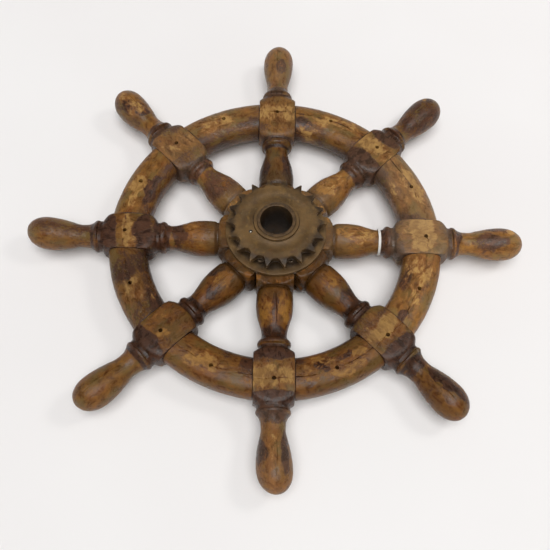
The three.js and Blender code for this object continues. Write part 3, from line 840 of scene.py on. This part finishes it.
def grime_and_shade_fields(seed, hollows):
    """Grime that gathers near [radius, height, reach] circles, and painted shade where such a circle lies under another
    part or down a bore.
    """
    def fields(places):
        radius = np.hypot(places[:, 0], places[:, 1])
        dirt_and_shade = 0.2 + 0.25 * rough_noise(places + 13.0 * seed, 16, seed, 3)
        for where, height, reach in hollows:
            dirt_and_shade = dirt_and_shade + 0.5 * np.exp(-(((radius - where) / reach) ** 2) - ((places[:, 2] - height) / reach) ** 2)
        return {"dirt_and_shade": dirt_and_shade}
    return fields


def tooth_profile():
    """Bearings and radii of one tooth space: a round seat for the roller and a straight flank to the crest."""
    pitch_radius = CHAIN_PITCH / (2 * math.sin(math.pi / TOOTH_COUNT))
    seat = [t * SEAT_HALF_ANGLE / 8 for t in range(-8, 9)]
    points = [(pitch_radius - ROLLER_RADIUS * math.cos(t), ROLLER_RADIUS * math.sin(t)) for t in seat]
    bearings = [math.atan2(y, x) for x, y in points]
    radii = [math.hypot(x, y) for x, y in points]
    crest = math.pi / TOOTH_COUNT
    soft = [(crest - 0.014, -0.35), (crest - 0.006, 0.0), (crest, 0.05)]
    for bearing, drop in soft:
        bearings.append(bearing)
        radii.append(TOOTH_TIP_RADIUS + drop - 0.05)
    for bearing, drop in soft[:2]:
        bearings.insert(0, -bearing)
        radii.insert(0, TOOTH_TIP_RADIUS + drop - 0.05)
    return np.array(bearings), np.array(radii)


def sprocket_surface():
    bearings, radii = tooth_profile()
    order = np.argsort(bearings)
    bearings, radii = bearings[order], radii[order]
    between = np.linspace(bearings[0], bearings[0] + TAU / TOOTH_COUNT, 34, endpoint=False)
    columns = np.unique(np.round(np.concatenate([bearings, between]), 4))
    columns = columns[np.concatenate([[True], np.diff(columns) > 0.0022])]
    first_gap = math.pi / 2
    angle = np.concatenate([columns + first_gap + TAU / TOOTH_COUNT * index for index in range(TOOTH_COUNT)])
    edge = np.tile(np.interp(columns, bearings, radii, period=TAU / TOOTH_COUNT), TOOTH_COUNT)
    root_radius = radii.min()
    bore = SPIGOT_RADIUS + SEAM
    middle = (SPROCKET_BOTTOM + SPROCKET_TOP) / 2
    half = SPROCKET_TOP - middle

    sections = []
    face = [(0.0, 0.0), (0.04, 0.0), (0.1, -0.35), (0.2, -0.7), (0.32, -0.85), (0.45, -0.8), (0.56, -0.45), (0.66, -0.08)]
    face += [(0.74, 0.0), (0.84, 0.0), (0.93, -0.04), (1.0, -0.12)]
    outer = [0.15, 0.35, 0.55, 0.75, 0.9, 0.97, 1.0]
    for sign in (1, -1):
        side = []
        for share, dip in face:
            radius = bore + (root_radius - 1.2 - bore) * share
            side.append((radius + 0 * edge, middle + sign * (half + dip)))
        for share in outer:
            radius = root_radius - 1.2 + (edge - 0.35 * (share == 1.0) - root_radius + 1.2) * share
            thin = 1.5 * step(root_radius, TOOTH_TIP_RADIUS, radius) + 0.12 + 0.5 * step(0.9, 1.0, share)
            side.append((radius, middle + sign * (half - thin)))
        sections.append(side)
    rim = [(edge, middle + half * share) for share in (0.5, 0.0, -0.5)]
    loop = sections[0] + rim + sections[1][::-1]
    loop += [(bore + 0 * edge, middle + half * share) for share in (-0.5, 0.0, 0.5)]
    radius = np.stack([r + 0 * edge for r, _ in loop], 1)
    height = np.stack([z + 0 * edge for _, z in loop], 1)
    a = np.broadcast_to(angle[:, None], radius.shape)
    places = np.stack([radius * np.cos(a), radius * np.sin(a), height], -1)
    uneven = rough_noise(places, 12, 3, 2) + 0.6 * rough_noise(places, 3, 1, 2)
    worn = 0.35 * step(0.2, 0.7, rough_noise(places, 18, 2, 2)) * step(TOOTH_TIP_RADIUS - 4, TOOTH_TIP_RADIUS, radius)
    outer_part = step(bore + 0.5, bore + 4, radius)
    radius = radius + (0.13 * uneven - worn) * outer_part
    height = height - np.sign(height - middle) * 0.16 * abs(uneven) * outer_part
    return skin_ring(np.stack([radius * np.cos(a), radius * np.sin(a), height], -1))


def hexagon_reach(angle):
    """Distance from the middle of a hexagon to its side, with a corner on the first axis."""
    return HEX_CORNER * math.cos(math.pi / 6) / np.cos((angle % (math.pi / 3)) - math.pi / 6)


def hex_rings(outer_face, inner_face, sign, chamfer):
    """Rings of a hexagonal head or nut, from its chamfered face to its other one. Sign is the way the first face looks."""
    angle = np.arange(72) * TAU / 72
    reach = hexagon_reach(angle)
    inner = HEX_CORNER * 0.84
    rings = [ring(angle, inner - 0.8, outer_face)]
    for share in (0.0, 0.5, 1.0):
        radius = np.minimum(inner + (HEX_CORNER - inner) * share, reach)
        drop = np.clip(radius - inner, 0, None) * 0.6 + 0.1 * share
        rings.append(ring(angle, radius, outer_face - sign * drop))
    rings.append(ring(angle, reach, (outer_face + inner_face) / 2))
    for share in (1.0, 0.5, 0.0):
        radius = np.minimum(inner + (HEX_CORNER - inner) * share, reach) - 0.1 * share
        drop = np.clip(radius - inner, 0, None) * 0.6 * chamfer
        rings.append(ring(angle, radius, inner_face + sign * drop))
    return rings


def ring(angle, radius, height):
    return np.stack([radius * np.cos(angle), radius * np.sin(angle), height + 0 * angle], -1)


def nut_surface():
    bottom = FLANGE_TOP + SEAM
    top = bottom + NUT_HEIGHT
    bore = BOLT_RADIUS + SEAM
    angle = np.arange(72) * TAU / 72
    rings = [ring(angle, bore, bottom + 0.6), ring(angle, bore, top - 0.6), ring(angle, bore + 0.6, top)]
    rings += hex_rings(top, bottom, 1, 0.4)
    rings.append(ring(angle, bore + 0.6, bottom))
    return skin(np.array(rings), loop=True)


def bolt_surface():
    """A hexagon head under the back flange, and a shank right through to the nut, with a run of thread."""
    head_top = -FLANGE_TOP - SEAM
    head_bottom = head_top - BOLT_HEAD_HEIGHT
    end = FLANGE_TOP + SEAM + NUT_HEIGHT + 1
    angle = np.arange(72) * TAU / 72
    rings = hex_rings(head_bottom, head_top, -1, 0.2)
    rings += [ring(angle, BOLT_RADIUS, height) for height in np.linspace(head_top, FLANGE_TOP - 3, 8)]
    for index, height in enumerate(np.arange(FLANGE_TOP - 2, end - 0.9, 0.45)):
        rings.append(ring(angle, BOLT_RADIUS - 0.35 * (index % 2), height))
    rings += [ring(angle, BOLT_RADIUS - 0.4, end - 0.5), ring(angle, BOLT_RADIUS - 1.0, end)]
    return skin(np.array(rings), [0, 0, head_bottom], [0, 0, end])


def placed(surface, radius, angle):
    """A surface turned from the wheel's own axis to another axis beside it."""
    points, faces = surface
    points = np.array(points)
    c, s = math.cos(angle), math.sin(angle)
    x = points[:, 0] + radius
    y = points[:, 1]
    return np.stack([x * c - y * s, x * s + y * c, points[:, 2]], 1), faces


def pin_surface():
    angle = np.arange(32) * TAU / 32
    outline = [(1.2, PIN_BOTTOM), (PIN_RADIUS, PIN_BOTTOM + 0.8), (PIN_RADIUS, 38), (PIN_RADIUS, 42)]
    outline += [(PIN_RADIUS, SPROCKET_TOP - 0.9), (1.8, SPROCKET_TOP - 0.45), (1.3, SPROCKET_TOP - 0.12), (0.6, SPROCKET_TOP)]
    rings = [np.stack([r * np.cos(angle), r * np.sin(angle), z + 0 * angle], -1) for r, z in outline]
    return skin(np.array(rings), [0, 0, PIN_BOTTOM], [0, 0, SPROCKET_TOP])


# ------------------------------------------------------------------ tie
def tie_surface():
    """A flat woven band round the neck of spoke 1, lapped over itself underneath."""
    angle = np.arange(180) * TAU / 180
    section = []
    for corner in np.arange(24) * TAU / 24:
        reach = (abs(np.cos(corner)) ** 4 + abs(np.sin(corner)) ** 4) ** -0.25
        section.append((reach * np.cos(corner), reach * np.sin(corner)))
    along, thick = np.array(section).T
    a, index = np.meshgrid(angle, np.arange(len(section)), indexing="ij")
    wander = 0.35 * noise(np.stack([np.cos(a) * 9, np.sin(a) * 9, 0 * a], -1), 7, 2)
    lap = 0.5 * np.exp(-((np.degrees(a) - 262) / 16) ** 2)
    pucker = 0.1 * noise(np.stack([np.cos(a) * 14, np.sin(a) * 14, along[index] * 3], -1), 2.4, 1)
    inner = turned_radius(TIE_CENTRE + 0 * a) + 0.55
    radius = inner + (TIE_THICKNESS / 2 + lap / 2) * (1 + thick[index]) + pucker
    s = TIE_CENTRE + wander + along[index] * (TIE_WIDTH / 2)
    return skin_ring(np.stack([s, radius * np.cos(a), radius * np.sin(a)], -1))


def tie_fields(places):
    around = np.arctan2(places[:, 2], places[:, 1]) * 15
    return {"weave": np.stack([around * 2.2, places[:, 0] * 2.2, 0 * around], -1)}


# ------------------------------------------------------------------ how each wooden piece has aged
# Marks are (along, across, length, width, amount): on a spoke, from the wheel's axis and anticlockwise from the
# spoke's own middle; on a felloe, along the rim and outwards from its middle. A split is (turn in degrees round
# the spoke, start, stop, depth).
# painted_sheen is painted light, per piece and, on a spoke, per vase, ball and grip: a pale painted reflection where
# positive, a deeper amber where negative.
SPOKE_TRAITS = {
    1: dict(bend=0.3, tone=(0.23, 0.07, 0.44), painted_sheen=(0.02, 0.14, 0.02), wear=0.02, dirt_and_shade=0.0, check_depth=1.0, splits=[(96, 74, 118, 0.7), (84, 236, 292, 0.8)],
            bare=[(96, 2, 26, 14, 0.4), (170, 2, 26, 24, 0.42), (240, 6, 12, 6, 0.2), (285, 8, 6, 5, 0.5)],
            dark=[(138, 0, 8, 22, 0.4), (150, -14, 9, 9, 0.25), (226, 2, 6, 9, 0.6), (262, -5, 20, 10, 0.45), (276, 12, 14, 7, 0.4)]),
    2: dict(bend=-0.25, tone=(0.26, 0.0, -0.04), painted_sheen=(0.02, 0.03, 0.0), wear=0.0, dirt_and_shade=0.05, check_depth=0.5, splits=[(100, 78, 112, 0.7), (80, 240, 286, 0.6)],
            bare=[(100, 4, 26, 16, 0.4), (180, 6, 12, 20, 0.28), (288, 8, 8, 3, 0.4)],
            dark=[(155, 0, 14, 24, 0.5), (137, 0, 9, 22, 0.3), (205, 4, 12, 20, 0.6), (262, 0, 40, 24, 0.3)]),
    3: dict(bend=-1.05, tone=(-0.33, -0.03, 0.02), painted_sheen=(0.0, 0.03, 0.08), wear=-0.02, dirt_and_shade=0.0, check_depth=1.0, splits=[(93, 76, 116, 0.6), (88, 236, 294, 0.9)],
            bare=[(178, 0, 22, 22, 0.25), (268, 2, 26, 12, 0.16)],
            dark=[(95, -14, 26, 8, 0.4), (95, 16, 24, 6, 0.3), (222, 0, 8, 18, 0.4), (262, -4, 12, 8, 0.35)]),
    4: dict(bend=-1.5, tone=(0.45, -0.07, -0.02), painted_sheen=(0.02, 0.07, 0.01), wear=-0.06, dirt_and_shade=0.04, check_depth=0.3, splits=[(86, 80, 112, 0.6), (97, 238, 288, 0.7)],
            bare=[(270, 4, 28, 10, 0.22), (178, 4, 10, 8, 0.2)],
            dark=[(102, 0, 26, 22, 0.3), (138, 0, 8, 22, 0.3), (218, 6, 8, 9, 0.7), (256, -3, 12, 8, 0.5), (272, 7, 9, 6, 0.4)]),
    5: dict(bend=-3.0, tone=(0.08, -0.11, 0.0), painted_sheen=(-0.4, 0.0, 0.0), wear=-0.02, dirt_and_shade=0.08, check_depth=0.9, splits=[(90, 74, 110, 0.8), (94, 240, 290, 0.8)],
            bare=[(96, -2, 15, 11, 0.35), (182, 0, 7, 26, 0.4)],
            dark=[(162, 2, 12, 24, 0.5), (202, 2, 11, 24, 0.45), (118, 0, 10, 18, 0.35), (140, 0, 8, 22, 0.4)]),
    6: dict(bend=-2.0, tone=(-0.37, -0.28, -0.13), painted_sheen=(-0.9, -0.7, -0.1), wear=-0.02, dirt_and_shade=0.0, check_depth=0.5, splits=[(88, 76, 114, 0.7), (92, 236, 292, 0.8)],
            bare=[(92, 2, 18, 12, 0.3), (186, 2, 7, 8, 0.4), (280, -4, 14, 10, 0.2)],
            dark=[(108, 4, 12, 6, 0.5), (203, -2, 10, 24, 0.6), (84, -12, 10, 7, 0.5), (160, 0, 14, 22, -0.1),
                  (137, 0, 9, 22, 0.5)]),
    7: dict(bend=2.2, tone=(-0.3, -0.17, 0.03), painted_sheen=(-0.9, 0.0, 0.04), wear=0.04, dirt_and_shade=0.0, check_depth=0.5, splits=[(90, 72, 120, 1.1), (86, 236, 294, 0.9)],
            bare=[(95, 12, 22, 8, 0.3), (95, -12, 22, 8, 0.3), (178, 0, 14, 26, 0.22), (262, -2, 26, 8, 0.16)],
            dark=[(102, 1, 20, 4, 0.8), (128, 0, 10, 20, 0.4), (206, 0, 11, 26, 0.7), (153, 0, 8, 24, 0.5),
                  (224, 0, 10, 18, 0.4), (262, 13, 24, 6, 0.5), (262, -13, 14, 6, 0.5)]),
    8: dict(bend=-1.4, tone=(-0.32, -0.18, -0.26), painted_sheen=(-1.0, 0.0, -0.35), wear=0.03, dirt_and_shade=0.0, check_depth=0.8, splits=[(92, 74, 116, 0.7), (96, 240, 288, 0.7)],
            bare=[(90, 2, 18, 14, 0.38), (166, 0, 18, 26, 0.36), (246, 10, 20, 5, 0.2)],
            dark=[(118, 4, 12, 14, 0.4), (136, 0, 10, 22, 0.4), (203, 0, 13, 24, 0.6), (228, -4, 10, 12, 0.5),
                  (262, 5, 18, 6, 0.6), (288, 8, 10, 6, 0.4), (264, 0, 40, 24, 0.1)]),
}
FELLOE_TRAITS = {
    1: dict(tone=0.16, painted_sheen=0.11, wear=0.06, dirt_and_shade=-0.08, sway=6, split=1.0, bare=[(0, 7, 32, 8, 0.28)], dark=[(-44, 0, 8, 22, 0.3)]),
    2: dict(tone=0.06, painted_sheen=0.02, wear=0.02, dirt_and_shade=0.0, sway=5, split=1.0, bare=[(-16, 5, 22, 8, 0.2), (12, 2, 12, 9, 0.16)],
            dark=[(34, -8, 12, 8, 0.4)]),
    3: dict(tone=0.03, painted_sheen=0.03, wear=-0.08, dirt_and_shade=0.0, sway=4, split=0.2, bare=[(0, 0, 8, 6, 0.35), (-20, -6, 20, 8, 0.1)],
            dark=[(-30, -10, 20, 8, 0.2)]),
    4: dict(tone=0.03, painted_sheen=0.0, wear=0.0, dirt_and_shade=0.02, sway=7, split=0.3, bare=[(4, 3, 13, 8, 0.45), (26, 1, 15, 6, 0.4)],
            dark=[(8, -12, 26, 7, 0.4), (-4, -2, 5, 5, 0.4)]),
    5: dict(tone=-0.27, painted_sheen=0.0, wear=-0.08, dirt_and_shade=0.06, sway=5, split=0.3, bare=[(0, 0, 9, 6, 0.3)],
            dark=[(-20, 6, 24, 14, 0.2), (34, 0, 20, 20, 0.14)]),
    6: dict(tone=-0.2, painted_sheen=-0.45, wear=-0.03, dirt_and_shade=-0.06, sway=5, split=0.5, bare=[(2, 2, 16, 9, 0.35), (-22, 6, 16, 7, 0.2)],
            dark=[(40, -6, 14, 12, 0.4)]),
    7: dict(tone=-0.27, painted_sheen=-0.5, wear=0.0, dirt_and_shade=-0.02, sway=7, split=0.8, bare=[(34, -3, 10, 6, 0.45), (6, 9, 38, 6, 0.2), (-36, 0, 8, 12, 0.25)],
            dark=[(-14, -5, 12, 9, 0.7), (16, -5, 20, 3.5, 0.55)]),
    8: dict(tone=0.15, painted_sheen=0.02, wear=-0.03, dirt_and_shade=-0.08, sway=6, split=0.7, bare=[(2, 5, 34, 6, 0.2), (30, -4, 12, 8, 0.14)],
            dark=[(-40, 0, 8, 5, 0.6), (6, -12, 22, 6, 0.3)]),
}

# ------------------------------------------------------------------ the pieces
WOOD = wood_material()
IRON = iron_material()
STEEL = steel_material("worn_bolt_steel", (104, 84, 60), (60, 46, 32), 0.38, 0.58, 0.5)
BRONZE = steel_material("dull_bronze", (108, 82, 50), (66, 49, 31), 0.4, 0.56, 0.45)
PIN_STEEL = steel_material("bright_pin_steel", (196, 192, 184), (140, 134, 124), 0.16, 0.3, 1.0)
COTTON = cotton_material()

for number, traits in SPOKE_TRAITS.items():
    node = f"spoke_{number}"
    rods = [((BALL_HOLE, 0, FLUSH_HEIGHT), (0, 0, -1), HOLE_RADIUS, HOLE_DEPTH)]
    for side in (1, -1):
        rods.append(((BALL_CENTRE, side * BALL_HALF_WIDTH, 0), (0, -side, 0), DOWEL_ROOM_RADIUS, DOWEL_ROOM_DEPTH))
    make_piece(
        "turned_" + node, spoke_surface(number, traits), WOOD, node,
        turn=(number - 1) * SPOKE_ANGLE, fields=spoke_fields(number, traits), rods=rods,
    )

for number, traits in FELLOE_TRAITS.items():
    node = f"felloe_{number}"
    rods = [((FELLOE_HOLE, 0, RIM_HALF_THICKNESS), (0, 0, -1), HOLE_RADIUS, HOLE_DEPTH)]
    make_piece(
        "sawn_" + node, felloe_surface(number, traits), WOOD, node,
        turn=(number - 0.5) * SPOKE_ANGLE, fields=felloe_fields(number, traits), rods=rods,
    )

FRONT_FLANGE = [
    (RUNNING_RADIUS, -BLOCK_HALF_HEIGHT, 0.5), (BARREL_RADIUS, -BLOCK_HALF_HEIGHT, 0.6), (BARREL_RADIUS, FLANGE_BOTTOM, 0),
    (FLANGE_RADIUS, FLANGE_BOTTOM, 0.6), (FLANGE_RADIUS, FLANGE_TOP, 1.2), (NECK_RADIUS, FLANGE_TOP, 2.2),
    (NECK_RADIUS, SPROCKET_BOTTOM - SEAM, 1.0), (SPIGOT_RADIUS, SPROCKET_BOTTOM - SEAM, 0),
    (SPIGOT_RADIUS, SPIGOT_TOP, 1.3), (RUNNING_RADIUS, SPIGOT_TOP, 0.5),
]
BACK_FLANGE = [
    (RUNNING_RADIUS, BACK_BOSS_END, 0.5), (BACK_BOSS_RADIUS, BACK_BOSS_END, 1.4), (BACK_BOSS_RADIUS, -FLANGE_TOP, 1.4),
    (FLANGE_RADIUS, -FLANGE_TOP, 1.2), (FLANGE_RADIUS, -FLANGE_BOTTOM, 0.6), (RUNNING_RADIUS, -FLANGE_BOTTOM, 0.4),
]
bolt_angles = [(index + 0.5) * SPOKE_ANGLE for index in range(SPOKES)]
bolt_rods = [
    ((BOLT_CIRCLE * math.cos(a), BOLT_CIRCLE * math.sin(a), 60), (0, 0, -1), BOLT_RADIUS + SEAM, 120) for a in bolt_angles
]
pin_rod = (
    (PIN_DISTANCE * math.cos(PIN_ANGLE), PIN_DISTANCE * math.sin(PIN_ANGLE), 55), (0, 0, -1), PIN_RADIUS + 0.25, 55 - PIN_BOTTOM + SEAM
)
# The flange top round the neck, under the sprocket, is darkened: painted shade. A thin dark line marks the joint at the
# bore's mouth.
make_piece(
    "cast_front_flange", lathe(FRONT_FLANGE, 192, 0.12, 3.0, 1, RUNNING_RADIUS + 1), IRON, "front_flange",
    fields=grime_and_shade_fields(1, [(NECK_RADIUS, FLANGE_TOP, 9), (50, FLANGE_TOP, 5), (RUNNING_RADIUS, SPIGOT_TOP, 0.8)]),
    rods=bolt_rods + [pin_rod],
)
make_piece(
    "cast_back_flange", lathe(BACK_FLANGE, 192, 0.12, 3.0, 2, RUNNING_RADIUS + 1), IRON, "back_flange",
    fields=grime_and_shade_fields(2, [(BACK_BOSS_RADIUS, -FLANGE_TOP, 6)]), rods=bolt_rods,
)
# On the sprocket: a dark joint line at the spigot, a darker band over the teeth on the top face, and painted shade on
# the underside.
make_piece(
    "cast_chain_sprocket", sprocket_surface(), IRON, "chain_sprocket",
    fields=grime_and_shade_fields(3, [(SPIGOT_RADIUS, SPROCKET_TOP, 1.0), (54, SPROCKET_TOP, 6), (50, SPROCKET_BOTTOM, 7)]), rods=[pin_rod],
)
make_piece(
    "steel_lock_pin", placed(pin_surface(), PIN_DISTANCE, PIN_ANGLE), PIN_STEEL, "sprocket_lock_pin",
    fields=grime_and_shade_fields(4, []),
)
BUSH = [
    (BUSH_BORE, BACK_BOSS_END - BUSH_PROUD, 0.9), (BUSH_RADIUS, BACK_BOSS_END - BUSH_PROUD, 0.4),
    (BUSH_RADIUS, SPIGOT_TOP + BUSH_PROUD, 0.4), (BUSH_BORE, SPIGOT_TOP + BUSH_PROUD, 0.9),
]
# Darker down the bore and at its upper mouth: painted shade.
make_piece(
    "bronze_axle_bush", lathe(BUSH, 160, 0, 4.0), BRONZE, "axle_bush", body="root",
    fields=grime_and_shade_fields(5, [(BUSH_BORE, 20, 30)]),
)
# Bolts and nuts darken towards the flange top, under the sprocket: painted shade.
for index, angle in enumerate(bolt_angles):
    number = index + 1
    make_piece(
        f"steel_hub_bolt_{number}", placed(bolt_surface(), BOLT_CIRCLE, angle), STEEL, f"hub_bolt_{number}",
        fields=grime_and_shade_fields(number, [(BOLT_CIRCLE, FLANGE_TOP, 9)]),
    )
    make_piece(
        f"steel_hub_nut_{number}", placed(nut_surface(), BOLT_CIRCLE, angle), STEEL, f"hub_nut_{number}",
        fields=grime_and_shade_fields(number, [(BOLT_CIRCLE, FLANGE_TOP, 9)]),
    )
make_piece("woven_cotton_tie", tie_surface(), COTTON, "cotton_tie", fields=tie_fields, sharp=60)

for name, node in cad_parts.items():
    if name.startswith("rim_dowel"):
        node.data.materials.clear()
        node.data.materials.append(WOOD)

# ------------------------------------------------------------------ camera, floor and light
FOCAL_PIXELS = 739.8
IMAGE_PIXELS = 550
CAMERA_DISTANCE = 913.0
SIDE_OFFSET, UP_OFFSET = 0.6, 43.0
CAMERA_YAW, CAMERA_ELEVATION, CAMERA_ROLL = math.radians(-1.88), math.radians(64.19), math.radians(2.84)

towards = Vector((
    math.sin(CAMERA_YAW) * math.cos(CAMERA_ELEVATION),
    -math.cos(CAMERA_YAW) * math.cos(CAMERA_ELEVATION),
    math.sin(CAMERA_ELEVATION),
))
level_right = (-towards).cross(Vector((0, 0, 1))).normalized()
level_up = level_right.cross(-towards)
c, s = math.cos(CAMERA_ROLL), math.sin(CAMERA_ROLL)
right = c * level_right + s * level_up
up = c * level_up - s * level_right
eye = towards * CAMERA_DISTANCE - right * SIDE_OFFSET - up * UP_OFFSET + Vector((0, 0, MIDDLE_HEIGHT))
lens = bpy.data.cameras.new("camera")
lens.sensor_width = 36
lens.lens = FOCAL_PIXELS / IMAGE_PIXELS * lens.sensor_width
lens.clip_start, lens.clip_end = 0.01, 50
camera = bpy.data.objects.new("camera", lens)
axes = Matrix((right, up, towards)).transposed().to_4x4()
camera.matrix_world = Matrix.Translation(eye * MM) @ axes
bpy.context.scene.collection.objects.link(camera)
bpy.context.scene.camera = camera


def floor_material():
    g = Graph("pale_paper_floor")
    place = g.node("TexCoord", output=3)
    cloud = g.noise(g.stretch(place, (1.6, 1.6, 1.6)), detail=3)
    g.put(g.shader.inputs["Base Color"], g.mix(g.ramp(cloud, 0.3, 0.7), srgb(236, 233, 232), srgb(240, 238, 237)))
    g.shader.inputs["Roughness"].default_value = 0.8
    return g.material


floor_mesh = bpy.data.meshes.new("floor")
floor_mesh.from_pydata([(-6, -6, 0), (6, -6, 0), (6, 6, 0), (-6, 6, 0)], [], [(0, 1, 2, 3)])
floor_mesh.materials.append(floor_material())
floor = bpy.data.objects.new("floor", floor_mesh)
bpy.context.scene.collection.objects.link(floor)


def soft_light(name, place, size, power, colour=(1, 1, 1)):
    """A square lamp at a place in metres that faces the wheel."""
    data = bpy.data.lights.new(name, "AREA")
    data.shape = "SQUARE"
    data.size = size
    data.energy = power
    data.color = colour
    lamp = bpy.data.objects.new(name, data)
    aim = Vector(place) - Vector((0, 0, 0.03))
    lamp.matrix_world = Matrix.Translation(place) @ aim.to_track_quat("Z", "Y").to_matrix().to_4x4()
    bpy.context.scene.collection.objects.link(lamp)


soft_light("key", (1.25, 0.25, 1.7), 0.4, 5.5, (1.0, 0.985, 0.96))
sky = bpy.data.lights.new("overhead", "SUN")
sky.energy = 2.4
sky.angle = math.radians(42)
overhead = bpy.data.objects.new("overhead", sky)
overhead.matrix_world = Vector((0.0, -0.26, 1.0)).to_track_quat("Z", "Y").to_matrix().to_4x4()
bpy.context.scene.collection.objects.link(overhead)


def room_world():
    """A pale room: bright walls low down, and a darker ceiling."""
    world = bpy.data.worlds.new("room")
    world.use_nodes = True
    tree = world.node_tree
    direction = tree.nodes.new("ShaderNodeTexCoord")
    split = tree.nodes.new("ShaderNodeSeparateXYZ")
    level = tree.nodes.new("ShaderNodeMapRange")
    level.interpolation_type = "SMOOTHSTEP"
    for socket, value in (("From Min", 0.08), ("From Max", 0.42), ("To Min", 0.82), ("To Max", 0.19)):
        level.inputs[socket].default_value = value
    background = tree.nodes["Background"]
    background.inputs["Color"].default_value = (1.0, 0.99, 0.985, 1)
    tree.links.new(direction.outputs["Generated"], split.inputs[0])
    tree.links.new(split.outputs["Z"], level.inputs["Value"])
    tree.links.new(level.outputs[0], background.inputs["Strength"])
    return world


bpy.context.scene.world = room_world()
bpy.context.scene.view_settings.view_transform = "Standard"
